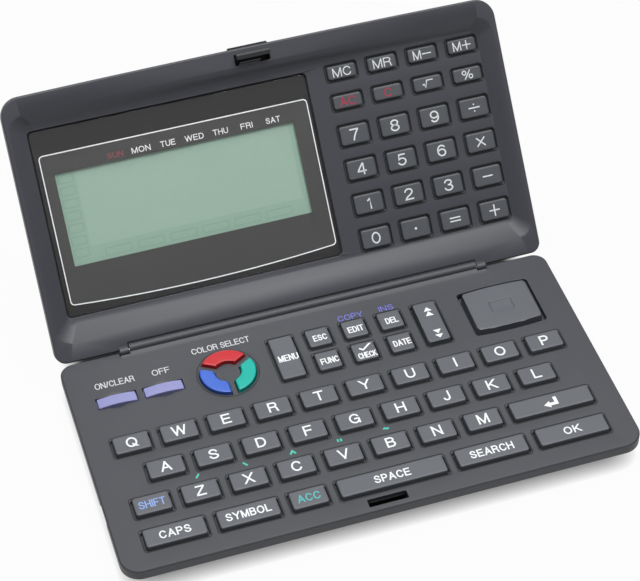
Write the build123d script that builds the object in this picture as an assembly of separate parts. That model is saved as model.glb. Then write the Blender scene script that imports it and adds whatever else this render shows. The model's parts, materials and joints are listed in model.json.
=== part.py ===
from build123d import *
import math
import os

# Pocket electronic organizer: a flat keyboard half and a lid with a display and a calculator
# keypad, joined by a barrel hinge along the back edge. Millimetres. X is to the user's right,
# Y away from the user, Z up. The origin is the middle of the underside of the keyboard half.

# Keyboard half
column_pitch = 12.9
column_count = 10
side_margin = 12.45
row_pitch = 10.66
row_count = 4
first_row = 32.95
front_margin = 9.07
base_height = 9.4
base_front_radius = 5.3
base_back_radius = 3.8
corner_shrink = 0.5
skirt_height = 3.1
skirt_wall = 1.6
face_plate = 1.3
edge_round = 0.35
tray_step = 0.35
tray_wall = 1.2
belly_height = 1.75
belly_inset = 4.6
foot_inset = 7.6
back_belly_inset = 0.9
back_foot_inset = 1.5
scoop_width = 40.0
scoop_depth = 0.35
scoop_height = 1.2

# Hinge, seen from the side: the axis lies just inside the back wall and above the face,
# and the round barrel stands a little further back around it
axis_inset = 0.15
axis_rise = 0.25
rest_tilt = 49.9
barrel_radius = 1.4
barrel_overhang = 0.45
barrel_half = 50.4
notch_half = 53.2
notch_reach = 2.2
ear_radius = 1.1
ear_root = 0.6
ear_gap = 0.2
pocket_gap = 0.25
ramp_foot = 2.6
ramp_crest = 0.9
ramp_rise = 0.5
pin_radius = 0.6
pin_grip = 6.4
pin_clearance = 0.05
web_drop = 1.4

# Lid, along its own plane from the hinge axis
lid_setback = 0.25
lid_bow = 0.4
lid_back = 0.2
lid_thickness = 6.8
lid_front_radius = 5.5
lid_back_radius = 3.0
rim_drop = 0.25
rim_depth = 2.35
cover_wall = 1.0
cover_round = 2.6
recess_depth = 2.6
recess_side = 1.5
recess_near = 5.15
recess_front = 5.0
recess_radius = 4.0
floor_side = 5.6
floor_near = 10.05
floor_front = 8.25
floor_radius = 2.2
floor_plate = 0.9
floor_lip = 1.3

# Display
window_side = 0.35
window_size = (78.75, 51.75)
window_radius = 1.3
window_gap = 0.15
window_thickness = 0.8
window_drop = 0.05
window_ledge = 0.6
ledge_lip = 1.6
glass_offset = (-0.6, 0.6)
glass_size = (72.0, 34.0)
glass_gap = 0.2
glass_thickness = 1.6
glass_drop = 0.03

# Keys, placed by their distance from the back edge and from the middle of the case
key_size = (9.75, 6.0)
key_rise = 0.95
key_draft = 0.12
key_corner = 0.6
key_edge = 0.16
key_hole_gap = 0.38
hole_bevel = (0.3, 0.2)
flange_lip = 0.7
function_pitch = 10.4
function_key_size = (6.6, 6.5)
function_rows = (12.1, 21.0)
function_rise = 0.7
long_key_size = (6.8, 15.4)
cluster_row = 16.55
rocker_size = (6.65, 15.3)
rocker_gap = 0.4
rocker_rib = 1.0
pad_size = (19.1, 14.7)
pad_middle = (51.85, 16.65)
pad_bulge = 0.45
pad_corner = 0.6
pad_hole_gap = 0.9
pad_lip = 0.4
pad_dish = (6.3, 4.0, 0.35)
ring_centre_x = -27.1
ring_outer = 7.65
ring_inner = 3.7
ring_split = 2.0
ring_gap = 0.25
power_key_size = (10.5, 3.3)
power_columns = (-58.0, -45.1)
power_rise = 0.6
power_crown = 0.5
power_dish = (3.4, 0.5)
power_plunger_depth = 1.6

# What lies under the face, from the top down
flange_gap = 0.1
flange_thickness = 0.65
plunger_drop = 0.6
plunger_side = 2.4
key_travel = 0.6
travel_margin = 0.1
pad_height = 0.55
pad_side = 3.0
sheet_thickness = 0.5
board_thickness = 1.0
board_inset = 6.8
board_back_inset = 4.2
rocker_tilt = 3.0
pad_tilt = 2.5
tilt_room = 0.05
pivot_radius = 2.0
pivot_gap = 0.15
ribbon_run = 5.0
ribbon_bend = 1.6

# Lid keypad
lid_column_pitch = 11.82
lid_column_count = 4
lid_column_side = 5.05
lid_key_size = (8.7, 5.9)
lid_small_key_size = (8.7, 4.3)
lid_hole_gap = 0.3
lid_number_rows = (44.0, 34.2, 24.3, 14.4)
lid_upper_rows = (61.8, 53.5)
lid_key_rise = 0.5
lid_key_travel = 0.4
lid_flange_thickness = 0.35
lid_pad_height = 0.15
lid_sheet_thickness = 0.3
lid_board_thickness = 0.7
lid_board_margin = (7.0, 1.5, 1.0)
lid_sheet_inset = (1.0, 0.5)
flex_width = 24.0
flex_lap = 6.8
flex_thickness = 0.2
tail_place = 4.0
tail_sink = 0.4

# Screws and battery bay
screw_places = ((-59.5, 32.2), (59.5, 32.2), (-60.5, -6.6), (60.5, -6.6))
screw_radius = 0.8
screw_head_radius = 1.6
screw_head = 1.0
screw_head_sink = 0.4
screw_clearance = 0.1
screw_bite = 2.4
screw_sides = 12
board_hole_gap = 0.2
cover_screw_head = 0.35
cover_screw_length = 2.6
cover_screw_edge = 1.2
boss_radius = 2.2
tower_radius = 2.85
tower_foot = 0.5
tower_top_gap = 0.4
bay_y = 15.0
bay_margin = (1.8, 1.3)
bay_screw_room = 6.4
bay_floor = 0.9
cover_thickness = 1.0
cover_gap = 0.1
right_cell_x = -9.0
cell_web = 1.6
cell_radius = 10.0
cell_thickness = 2.4
cell_gap = 0.2
cell_collar = 0.9
backup_radius = 6.2
backup_thickness = 1.6
contact_thickness = 0.35
contact_width = 4.0
contact_inset = 2.0

# Latch: a sliding hook at the free edge of the lid, and the slot in the keyboard half
slot_size = (10.6, 2.5)
slot_front = 2.9
hook_width = 9.4
hook_slot_gap = 0.2
hook_thick = 1.1
hook_gap = 0.15
hook_hole_side = 0.25
hook_hole_back = 0.8
hook_hole_front = 0.4
beak_reach = 0.55
beak_height = 0.8
beak_lip = 0.35
beak_room = 0.2
latch_travel = 0.8
tab_width = 11.4
tab_proud = 0.9
tab_drop = 3.75
tab_thickness = 1.2
tab_round = 0.5
tab_room = 0.1
guide_wall = 0.9
guide_depth = 0.65
leaf_thickness = 0.25
leaf_foot = 2.2
leaf_width = 6.0
leaf_gap = 0.05
lift_wire_radius = 0.25
lift_wire_half = 7.2
lift_wire_drop = 3.0
lift_wire_back = 68.6
lift_post = 1.6

# Small parts
port_place = -14.4
port_size = (4.6, 7.0)
port_clearance = 0.05
port_sink = 0.25
port_top_gap = 0.02
port_slot = (2.6, 4.8, 0.9)
buzzer_radius = 9.0
buzzer_thickness = 0.5
buzzer_place = (45.0, 14.0)
chip_height = 1.1
chips = ((-20, -12, 14, 14), (5, -12, 12, 8), (24, -12, 12, 8), (40, -12, 7, 3))
fit_gap = 0.05
ribbon_width = 12.0
ribbon_thickness = 0.2

# Levels and places that follow from the values above
case_width = (column_count - 1) * column_pitch + 2 * side_margin
base_depth = first_row + (row_count - 1) * row_pitch + front_margin
back = base_depth / 2
face = base_height
skirt_bottom = face - skirt_height
plate_bottom = face - face_plate
hinge_y = back - axis_inset
hinge_z = face + axis_rise
barrel_y = back + barrel_overhang
rim = -rim_drop
cover_top = rim - rim_depth
lid_outside = rim - lid_thickness
cover_inside = lid_outside + cover_wall
lid_floor = rim - recess_depth
floor_bottom = lid_floor - floor_plate
glass_top = floor_bottom - glass_drop
lid_reach = base_depth - axis_inset - lid_setback
recess_half = case_width / 2 - recess_side
recess_far = lid_reach - recess_front
floor_half = case_width / 2 - floor_side
floor_far = lid_reach - floor_front
window_centre = (-floor_half + window_side + window_size[0] / 2, (floor_near + floor_far) / 2)
glass_centre = (window_centre[0] + glass_offset[0], window_centre[1] + glass_offset[1])
slot_centre = base_depth - slot_front
hook_front = slot_centre - axis_inset + slot_size[1] / 2 - hook_slot_gap
hook_back = hook_front - hook_thick
hook_tip = hook_front + beak_reach
hook_hole = (hook_width + 2 * hook_hole_side, hook_back - latch_travel - hook_hole_back,
             hook_front + hook_hole_front)
tab_reach = lid_reach + tab_proud
cell_well = cell_radius + cell_gap
backup_well = backup_radius + cell_gap
cell_places = (right_cell_x - 2 * cell_well - cell_web, right_cell_x)
backup_place = right_cell_x + cell_well + cell_web + backup_well
bay_left = cell_places[0] - cell_well - bay_margin[0]
bay_right = backup_place + backup_well + bay_screw_room
bay_half = cell_well + bay_margin[1]
tab_levels = (rim - tab_drop - tab_thickness, rim - tab_drop)


def stack(face_level, plate, flange, drop, travel, pad, sheet, board):
    """Heights of the layers under a key panel, from its face down."""
    under = face_level - plate
    flange_top = under - flange_gap
    flange_bottom = flange_top - flange
    plunger = flange_bottom - drop
    pad_top = plunger - travel - travel_margin
    sheet_top = pad_top - pad
    board_top = sheet_top - sheet
    return {
        "face": face_level, "under": under, "flange_top": flange_top,
        "flange_bottom": flange_bottom, "plunger": plunger, "pad_top": pad_top,
        "sheet_top": sheet_top, "board_top": board_top, "board_bottom": board_top - board,
    }


base_stack = stack(face, face_plate, flange_thickness, plunger_drop, key_travel, pad_height,
                   sheet_thickness, board_thickness)
lid_stack = stack(lid_floor, floor_plate, lid_flange_thickness, 0.0, lid_key_travel,
                  lid_pad_height, lid_sheet_thickness, lid_board_thickness)


def block(x0, x1, y0, y1, z0, z1):
    """A box between two corners."""
    return Pos((x0 + x1) / 2, (y0 + y1) / 2, (z0 + z1) / 2) * Box(x1 - x0, y1 - y0, z1 - z0)


def post(x, y, z0, z1, radius):
    """An upright cylinder."""
    return Pos(x, y, (z0 + z1) / 2) * Cylinder(radius, z1 - z0)


def faceted_post(x, y, z0, z1, radius):
    """A small upright post with flats, for screws and what goes round them."""
    return Pos(x, y, z0) * extrude(RegularPolygon(radius, screw_sides), amount=z1 - z0)


def rod(x0, x1, y, z, radius):
    """A cylinder along X."""
    return Pos((x0 + x1) / 2, y, z) * Rot(Y=90) * Cylinder(radius, x1 - x0)


def profile_bar(x0, x1, points):
    """A side profile of (y, z) points carried along X."""
    wire = Polyline(*[(x0, y, z) for y, z in points], close=True)
    return extrude(make_face(wire), amount=x1 - x0, dir=(1, 0, 0))


def plan(x0, x1, y0, y1, near_radius, far_radius, z=0.0, bow=0.0):
    """A flat outline with rounded corners; bow lifts the middle of the far edge."""
    n, f = near_radius, far_radius
    k = 1 - math.sqrt(0.5)
    middle = (x0 + x1) / 2
    edges = [
        Line((x0 + n, y0), (x1 - n, y0)),
        ThreePointArc((x1 - n, y0), (x1 - k * n, y0 + k * n), (x1, y0 + n)),
        Line((x1, y0 + n), (x1, y1 - f)),
        ThreePointArc((x1, y1 - f), (x1 - k * f, y1 - k * f), (x1 - f, y1)),
        ThreePointArc((x1 - f, y1), (middle, y1 + bow), (x0 + f, y1)) if bow
        else Line((x1 - f, y1), (x0 + f, y1)),
        ThreePointArc((x0 + f, y1), (x0 + k * f, y1 - k * f), (x0, y1 - f)),
        Line((x0, y1 - f), (x0, y0 + n)),
        ThreePointArc((x0, y0 + n), (x0 + k * n, y0 + k * n), (x0 + n, y0)),
    ]
    return Pos(0, 0, z) * make_face(edges)


def base_plan(inset, z, back_inset=None):
    """The outline of the keyboard half, drawn in by an inset."""
    rear = inset if back_inset is None else back_inset
    return plan(
        -case_width / 2 + inset, case_width / 2 - inset, -back + inset, back - rear,
        max(base_front_radius - inset * corner_shrink, 1.0), max(base_back_radius - rear, 1.0), z)


def lid_plan(inset, z):
    """The outline of the lid in its own plane, drawn in by an inset, without the hinge notch."""
    return plan(
        -case_width / 2 + inset, case_width / 2 - inset, lid_back + inset, lid_reach - inset,
        max(lid_back_radius - inset, 0.8), max(lid_front_radius - inset, 0.8), z, lid_bow)


def clipped(width, depth, corner, z):
    """A rectangle with its corners cut off, for a key or its hole."""
    a, b, c = width / 2, depth / 2, corner
    points = [(-a + c, -b), (a - c, -b), (a, -b + c), (a, b - c), (a - c, b), (-a + c, b),
              (-a, b - c), (-a, -b + c)]
    return Pos(0, 0, z) * make_face(Polyline(*points, close=True))


def in_lid(shape):
    """Turn a shape from the lid's own plane to its place at rest."""
    return Pos(0, hinge_y, hinge_z) * Rot(X=rest_tilt) * shape


def key_cap(width, depth, levels, rise, plunger=plunger_side):
    """A drafted key with a broken top edge, the flange that keeps it in and its plunger."""
    top = levels["face"] + rise
    shoulder = top - key_edge
    d = key_draft
    e = key_draft + key_edge
    skirt = loft([clipped(width, depth, key_corner, levels["flange_bottom"]),
                  clipped(width - 2 * d, depth - 2 * d, key_corner, shoulder)], ruled=True)
    crown = loft([clipped(width - 2 * d, depth - 2 * d, key_corner, shoulder),
                  clipped(width - 2 * e, depth - 2 * e, key_corner, top)], ruled=True)
    lip = Pos(0, 0, (levels["flange_top"] + levels["flange_bottom"]) / 2) * Box(
        width + 2 * flange_lip, depth + 2 * flange_lip,
        levels["flange_top"] - levels["flange_bottom"])
    key = skirt + crown + lip
    if levels["plunger"] < levels["flange_bottom"]:
        key += Pos(0, 0, (levels["plunger"] + levels["flange_bottom"]) / 2) * Box(
            plunger, plunger, levels["flange_bottom"] - levels["plunger"])
    return key


def key_hole(width, depth, levels, gap=key_hole_gap):
    """The hole in a key panel, with its upper edge broken."""
    top = levels["face"]
    across, drop = hole_bevel
    wide = (width + 2 * gap, depth + 2 * gap)
    corner = key_corner + gap / 2
    hole = extrude(clipped(*wide, corner, levels["under"] - 1.0), amount=face_plate + 2.0)
    flare = loft([clipped(*wide, corner, top - drop),
                  clipped(wide[0] + 2 * across, wide[1] + 2 * across, corner + across / 2, top)],
                 ruled=True)
    return hole + flare


def from_back(distance):
    """Y of a place that lies a distance in front of the back edge."""
    return back - distance


def row_y(row):
    return from_back(first_row + row * row_pitch)


def column_x(column):
    return (column - (column_count - 1) / 2) * column_pitch


def wide_key(first, last):
    """Middle and width of a key that runs from one column's place to another's."""
    middle = (column_x(first) + column_x(last)) / 2
    return middle, column_x(last) - column_x(first) + key_size[0]


def typing_keys():
    """Names, places and sizes of the keys of the typing rows."""
    keys = {
        "letter_keys_top_row": [(column_x(i), row_y(0), *key_size) for i in range(10)],
        "letter_keys_middle_row": [(column_x(i + 0.5), row_y(1), *key_size) for i in range(9)],
        "letter_keys_bottom_row": [(column_x(i), row_y(2), *key_size) for i in range(1, 8)],
        "shift_key": [(column_x(0), row_y(2), *key_size)],
        "accent_key": [(column_x(3), row_y(3), *key_size)],
    }
    spans = {"enter_key": (8, 9, 2), "caps_key": (0, 0.5, 3), "symbol_key": (1.5, 2, 3),
             "space_key": (4, 5.5, 3), "search_key": (6.5, 7.25, 3), "ok_key": (8.25, 9, 3)}
    for name, (first, last, row) in spans.items():
        middle, width = wide_key(first, last)
        keys[name] = [(middle, row_y(row), width, key_size[1])]
    return keys


def function_keys():
    """Names, places and sizes of the upright keys behind the typing rows."""
    upper, lower = (from_back(value) for value in function_rows)
    return {
        "menu_key": [(-function_pitch, from_back(cluster_row), *long_key_size)],
        "escape_key": [(0.0, upper, *function_key_size)],
        "function_key": [(0.0, lower, *function_key_size)],
        "edit_key": [(function_pitch, upper, *function_key_size)],
        "check_key": [(function_pitch, lower, *function_key_size)],
        "delete_key": [(2 * function_pitch, upper, *function_key_size)],
        "date_key": [(2 * function_pitch, lower, *function_key_size)],
    }


def lid_keys():
    """Names, places and sizes of the calculator keys in the lid's own plane."""
    last = floor_half - lid_column_side
    columns = [last - i * lid_column_pitch for i in reversed(range(lid_column_count))]
    names = ["number_keys_789", "number_keys_456", "number_keys_123", "number_keys_0"]
    keys = {name: [(x, y, *lid_key_size) for x in columns]
            for name, y in zip(names, lid_number_rows)}
    for name, y in zip(["memory_keys", "clear_keys"], lid_upper_rows):
        keys[name] = [(x, y, *lid_small_key_size) for x in columns]
    return keys


def key_group(places, levels, rise):
    """The separate keys that share one node."""
    caps = [Pos(x, y, 0) * key_cap(width, depth, levels, rise) for x, y, width, depth in places]
    return Compound(children=caps) if len(caps) > 1 else caps[0]


rocker_place = (3 * function_pitch, from_back(cluster_row))
pad_place = (pad_middle[0], from_back(pad_middle[1]))
ring_place = (ring_centre_x, from_back(cluster_row))
power_y = from_back(cluster_row)


def tilt_levels(half_length, angle):
    """Flange heights for a key that tilts about its middle instead of going straight down."""
    rise = half_length * math.sin(math.radians(angle))
    top = base_stack["under"] - rise - tilt_room
    return {**base_stack, "flange_top": top, "flange_bottom": top - flange_thickness / 2}


def page_rocker():
    """The long up and down key, which rocks over a rib at its middle."""
    levels = tilt_levels(rocker_size[1] / 2 + flange_lip, rocker_tilt)
    levels["plunger"] = levels["flange_bottom"]
    key = key_cap(*rocker_size, levels, key_rise)
    rib_bottom = base_stack["sheet_top"] + pivot_gap
    rib = block(-rocker_size[0] / 2, rocker_size[0] / 2, -rocker_rib / 2, rocker_rib / 2, rib_bottom,
                levels["flange_bottom"])
    return Pos(*rocker_place, 0) * (key + rib)


def pad_outline(grow, z):
    """The cursor pad seen from above: straight sides, gently bulging front and back, cut corners."""
    a, b, c = pad_size[0] / 2 + grow, pad_size[1] / 2 + grow, pad_corner
    g = pad_bulge
    edges = [
        ThreePointArc((-a + c, -b), (0, -b - g), (a - c, -b)), Line((a - c, -b), (a, -b + c)),
        Line((a, -b + c), (a, b - c)), Line((a, b - c), (a - c, b)),
        ThreePointArc((a - c, b), (0, b + g), (-a + c, b)), Line((-a + c, b), (-a, b - c)),
        Line((-a, b - c), (-a, -b + c)), Line((-a, -b + c), (-a + c, -b))]
    return Pos(0, 0, z) * make_face(edges)


def cursor_pad():
    """The cursor pad, with its flange, its dished middle and the seat over the pivot."""
    levels = pad_levels()
    top = face + key_rise
    body = loft([pad_outline(0, levels["flange_bottom"]), pad_outline(-key_draft, top - key_edge)],
                ruled=True)
    body += loft([pad_outline(-key_draft, top - key_edge), pad_outline(-key_draft - key_edge, top)],
                 ruled=True)
    body += Pos(0, 0, levels["flange_bottom"]) * extrude(
        pad_outline(pad_hole_gap + pad_lip, 0), amount=flange_thickness / 2)
    width, depth, drop = pad_dish
    body -= block(-width / 2, width / 2, -depth / 2, depth / 2, top - drop, top + 1)
    return Pos(*pad_place, 0) * body


def pad_levels():
    """Heights of the cursor pad, whose corners rise furthest when it tilts both ways."""
    reach = (pad_size[0] + pad_size[1]) / 2 + 2 * (pad_hole_gap + pad_lip)
    return tilt_levels(reach, pad_tilt)


def cursor_pad_pivot():
    """The small button on which the cursor pad tilts both ways."""
    low = base_stack["sheet_top"] + pivot_gap
    high = pad_levels()["flange_bottom"] - pivot_gap
    return post(*pad_place, low, high, pivot_radius)


def ring_sector(middle_angle, outer, inner, split, z0, z1):
    """A third of a ring, with its ends parallel to the gaps between the keys."""
    ring = post(0, 0, z0, z1, outer) - post(0, 0, z0 - 1, z1 + 1, inner)
    for side in (-60, 60):
        turn = middle_angle + side
        sign = 1 if side > 0 else -1
        far = outer + 2
        cut = block(-far, far, -split / 2 if sign > 0 else -far, far if sign > 0 else split / 2,
                    z0 - 1, z1 + 1)
        ring -= Rot(Z=turn) * cut
    return ring


def colour_key(middle_angle):
    """One of the three colour keys: a curved top over a flange and a plunger."""
    levels = base_stack
    top = levels["face"] + key_rise
    e = key_edge
    key = ring_sector(middle_angle, ring_outer, ring_inner, ring_split, levels["flange_bottom"],
                      top - e)
    key += ring_sector(middle_angle, ring_outer - e, ring_inner + e, ring_split + 2 * e,
                       top - 2 * e, top)
    lip = flange_lip
    key += ring_sector(middle_angle, ring_outer + lip, ring_inner - lip, ring_split - 2 * lip,
                       levels["flange_bottom"], levels["flange_top"])
    radius = (ring_outer + ring_inner) / 2
    angle = math.radians(middle_angle)
    key += Pos(radius * math.cos(angle), radius * math.sin(angle), 0) * block(
        -plunger_side / 2, plunger_side / 2, -plunger_side / 2, plunger_side / 2,
        levels["plunger"], levels["flange_bottom"])
    return Pos(*ring_place, 0) * key


def power_key(x):
    """A low key with a crowned top, which sits in its own finger dish."""
    levels = base_stack
    width, depth = power_key_size
    edge_top = face + power_rise - power_crown
    crown = [Line((-width / 2, 0, levels["flange_bottom"]), (width / 2, 0, levels["flange_bottom"])),
             Line((width / 2, 0, levels["flange_bottom"]), (width / 2, 0, edge_top)),
             ThreePointArc((width / 2, 0, edge_top), (0, 0, face + power_rise),
                           (-width / 2, 0, edge_top)),
             Line((-width / 2, 0, edge_top), (-width / 2, 0, levels["flange_bottom"]))]
    body = Pos(0, -depth / 2, 0) * extrude(make_face(crown), amount=depth, dir=(0, 1, 0))
    body += block(-width / 2 - flange_lip, width / 2 + flange_lip, -depth / 2 - flange_lip,
                  depth / 2 + flange_lip, levels["flange_bottom"], levels["flange_top"])
    body += block(-plunger_side / 2, plunger_side / 2, -power_plunger_depth / 2,
                  power_plunger_depth / 2, levels["plunger"], levels["flange_bottom"])
    return Pos(x, power_y, 0) * body


def base_upper_case():
    """The keyboard panel with its skirt, the hinge barrel and all the key holes."""
    shell = extrude(base_plan(0, skirt_bottom), amount=skirt_height)
    rim_edges = shell.faces().sort_by(Axis.Z)[-1].edges()
    shell = chamfer(rim_edges, edge_round)
    shell -= extrude(base_plan(skirt_wall, skirt_bottom - 1), amount=plate_bottom - skirt_bottom + 1)
    shell += hinge_barrel()
    for side in (-1, 1):
        ends = sorted((side * (barrel_half + ear_gap / 4), side * (notch_half + ear_gap)))
        shell -= rod(*ends, hinge_y, hinge_z, ear_radius + pocket_gap)
        bore = sorted((side * (barrel_half - pin_grip), side * (barrel_half + 1)))
        shell -= rod(*bore, hinge_y, hinge_z, pin_radius)
    for places in {**typing_keys(), **function_keys()}.values():
        for x, y, width, depth in places:
            shell -= Pos(x, y, 0) * key_hole(width, depth, base_stack)
    shell -= Pos(*rocker_place, 0) * key_hole(*rocker_size, base_stack, rocker_gap)
    shell -= Pos(*pad_place, 0) * extrude(
        pad_outline(pad_hole_gap, plate_bottom - 1), amount=face_plate + 2)
    for angle in (90, 210, 330):
        shell -= Pos(*ring_place, 0) * ring_sector(
            angle, ring_outer + ring_gap, ring_inner - ring_gap, ring_split - 2 * ring_gap,
            plate_bottom - 1, face + 1)
    for x in power_columns:
        shell -= power_recess(x)
    shell -= latch_slot()
    shell -= port_box(port_clearance)
    for x, y in screw_places:
        shell += faceted_post(x, y, base_stack["board_bottom"], plate_bottom, boss_radius)
        shell -= faceted_post(x, y, base_stack["board_bottom"] - 1, plate_bottom, screw_radius)
    return shell


def hinge_barrel():
    """The barrel along the back edge, the ramp in front of it and the web below it."""
    barrel = rod(-barrel_half, barrel_half, barrel_y, hinge_z, barrel_radius)
    ramp = profile_bar(-notch_half, notch_half, [
        (back - ramp_foot, face), (back - ramp_crest, face + ramp_rise),
        (back, face + ramp_rise), (back, plate_bottom), (back - ramp_foot, plate_bottom)])
    web = profile_bar(-barrel_half, barrel_half, [
        (back - edge_round, hinge_z), (barrel_y, hinge_z), (barrel_y, hinge_z - barrel_radius),
        (back - edge_round, hinge_z - barrel_radius - web_drop)])
    return barrel + ramp + web


def latch_slot():
    """The slot that the hook drops into, and the undercut of the front wall for its beak."""
    half, y = slot_size[0] / 2, from_back(slot_centre)
    slot = block(-half, half, y - slot_size[1] / 2, y + slot_size[1] / 2, plate_bottom - 1, face + 1)
    depth = hook_gap + beak_height + beak_room
    return slot + block(-half, half, from_back(hook_tip + axis_inset + beak_room), y,
                        plate_bottom - depth, plate_bottom)


def power_recess(x):
    """The hole of a power key and the round finger dish around its middle."""
    reach, drop = power_dish
    hole = block(-power_key_size[0] / 2 - key_hole_gap, power_key_size[0] / 2 + key_hole_gap,
                 -power_key_size[1] / 2 - key_hole_gap, power_key_size[1] / 2 + key_hole_gap,
                 plate_bottom - 1, face + 1)
    radius = (reach * reach + drop * drop) / (2 * drop)
    dish = Pos(0, 0, face - drop + radius) * Sphere(radius)
    return Pos(x, power_y, 0) * (hole + dish)


def tray_outer():
    """The outside of the lower case: nearly upright at the back, drawn in under the skirt."""
    upper = loft([base_plan(belly_inset, belly_height, back_belly_inset),
                  base_plan(tray_step, skirt_bottom)], ruled=True)
    lower = loft([base_plan(foot_inset, 0, back_foot_inset),
                  base_plan(belly_inset, belly_height, back_belly_inset)], ruled=True)
    return upper + lower


def tray_inner():
    """The hollow of the lower case."""
    wall = tray_wall
    low = base_plan(belly_inset + wall, belly_height, back_belly_inset + wall)
    upper = loft([low, base_plan(tray_step + wall, skirt_bottom + 0.01)], ruled=True)
    floor = extrude(base_plan(belly_inset + wall, wall, back_belly_inset + wall),
                    amount=belly_height - wall)
    return upper + floor


def bay_box(grow, z0, z1):
    """A box over the battery bay, grown all round."""
    return block(bay_left - grow, bay_right + grow, bay_y - bay_half - grow,
                 bay_y + bay_half + grow, z0, z1)


def cell_wall(x, well):
    """The collar moulded round a coin cell."""
    top = tray_wall + cell_thickness
    return post(x, bay_y, tray_wall, top, well + cell_collar) - post(x, bay_y, -1, top + 1, well)


def base_lower_case():
    """The lower case, with the battery bay, the screw towers and the wire posts."""
    shell = tray_outer() - tray_inner()
    scoop_y = -back + belly_inset / 2
    shell -= Pos(0, scoop_y - belly_inset / 2, skirt_bottom - scoop_height / 2) * Box(
        scoop_width, 2 * (tray_step + scoop_depth), scoop_height)
    board_low = base_stack["board_bottom"]
    for x in cell_places:
        shell += cell_wall(x, cell_well)
    shell += cell_wall(backup_place, backup_well)
    for x, y in screw_places:
        shell += faceted_post(x, y, tower_foot, board_low - fit_gap, tower_radius)
        shell -= faceted_post(x, y, -1, screw_head_sink + screw_head,
                              screw_head_radius + screw_clearance)
        shell -= faceted_post(x, y, 0, board_low, screw_radius + screw_clearance)
    shell += bay_box(bay_floor, 0, cover_thickness + cover_gap + bay_floor)
    shell -= bay_box(0, -1, cover_thickness + cover_gap)
    for x in cell_places:
        shell -= post(x, bay_y, 0, tray_wall + cell_thickness, cell_well)
    shell -= post(backup_place, bay_y, 0, tray_wall + cell_thickness, backup_well)
    wire_y = from_back(lift_wire_back)
    wire_z = face - lift_wire_drop
    half = lift_post / 2
    for side in (-1, 1):
        x = side * (lift_wire_half - half)
        shell += block(x - half, x + half, wire_y - half, wire_y + half, belly_height,
                       wire_z - lift_wire_radius - fit_gap)
    x, y = cover_screw_place()
    shell += faceted_post(x, y, cover_thickness + cover_gap, board_low - fit_gap, tower_radius)
    shell -= faceted_post(x, y, 0, board_low - tower_top_gap, screw_radius)
    shell -= port_box(port_clearance)
    return shell


def cover_screw_place():
    """Place of the battery cover's screw, near the right end of the bay."""
    return bay_right - screw_head_radius - cover_screw_edge, bay_y


def battery_cover():
    """The plate over the battery bay, held by one screw."""
    plate = bay_box(-cover_gap, cover_gap, cover_thickness)
    x, y = cover_screw_place()
    plate -= faceted_post(x, y, -1, screw_head_sink, screw_head_radius + screw_clearance)
    plate -= faceted_post(x, y, -1, 3, screw_radius + screw_clearance)
    return plate


def screw(x, y, head_top, length):
    """A small pan head screw, head down, driven up from below."""
    return (faceted_post(x, y, head_top - screw_head, head_top, screw_head_radius)
            + faceted_post(x, y, head_top, head_top + length, screw_radius))


def base_screws():
    """The four case screws and the one that holds the battery cover."""
    seat = screw_head_sink + screw_head
    length = base_stack["board_bottom"] + screw_bite - seat
    screws = [screw(x, y, seat, length) for x, y in screw_places]
    x, y = cover_screw_place()
    cover_seat = screw_head_sink
    screws.append(faceted_post(x, y, cover_seat - cover_screw_head, cover_seat, screw_head_radius)
                  + faceted_post(x, y, cover_seat, cover_seat + cover_screw_length, screw_radius))
    return Compound(children=screws)


def board_plan(z):
    return base_plan(board_inset, z, board_back_inset)


def boss_holes(z0, z1):
    radius = boss_radius + board_hole_gap
    return [faceted_post(x, y, z0, z1, radius) for x, y in screw_places]


def base_circuit_board():
    """The circuit board under the keyboard, with holes for the screw bosses."""
    low, high = base_stack["board_bottom"], base_stack["board_top"]
    board = extrude(board_plan(low), amount=high - low)
    for hole in boss_holes(low - 1, high + 1):
        board -= hole
    return board


def board_chips():
    """The processor, two memory chips and the clock crystal under the board."""
    top = base_stack["board_bottom"]
    return Compound(children=[
        Pos(x, y, top - chip_height / 2) * Box(a, b, chip_height) for x, y, a, b in chips])


def contact_places():
    """Middle of the rubber pad under every key of the keyboard half."""
    places = [(x, y) for group in {**typing_keys(), **function_keys()}.values()
              for x, y, width, depth in group]
    radius = (ring_outer + ring_inner) / 2
    for angle in (90, 210, 330):
        turn = math.radians(angle)
        places.append((ring_place[0] + radius * math.cos(turn),
                       ring_place[1] + radius * math.sin(turn)))
    places += [(x, power_y) for x in power_columns]
    return places


def base_key_sheet():
    """The rubber sheet whose pads lie under the keys."""
    low, high = base_stack["board_top"], base_stack["sheet_top"]
    sheet = extrude(base_plan(board_inset + 0.4, low, board_back_inset + 0.4), amount=high - low)
    for hole in boss_holes(low - 1, high + 1):
        sheet -= hole
    half = pad_side / 2
    pads = [block(x - half, x + half, y - half, y + half, high - 0.1, base_stack["pad_top"])
            for x, y in contact_places()]
    return sheet + pads


def main_batteries():
    """Two coin cells side by side."""
    low = cover_thickness + cover_gap + fit_gap
    return Compound(children=[
        post(x, bay_y, low, low + cell_thickness, cell_radius) for x in cell_places])


def backup_battery():
    """The smaller coin cell that keeps the memory alive."""
    low = cover_thickness + cover_gap + fit_gap
    return post(backup_place, bay_y, low, low + backup_thickness, backup_radius)


def battery_contacts():
    """Sprung strips between the cells and the board."""
    high = base_stack["board_bottom"]
    low = high - contact_thickness
    y = bay_y
    half = contact_width / 2
    reach = cell_radius - contact_inset
    strips = [block(x - reach, x + reach, y - half, y + half, low, high) for x in cell_places]
    low = cover_thickness + cover_gap + backup_thickness + 2 * fit_gap
    strips.append(block(backup_place - half, backup_place + half, y - half, y + half, low, high))
    return Compound(children=strips)


def buzzer():
    """The flat sounder on the floor of the lower case."""
    return post(*buzzer_place, tray_wall, tray_wall + buzzer_thickness, buzzer_radius)


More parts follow.
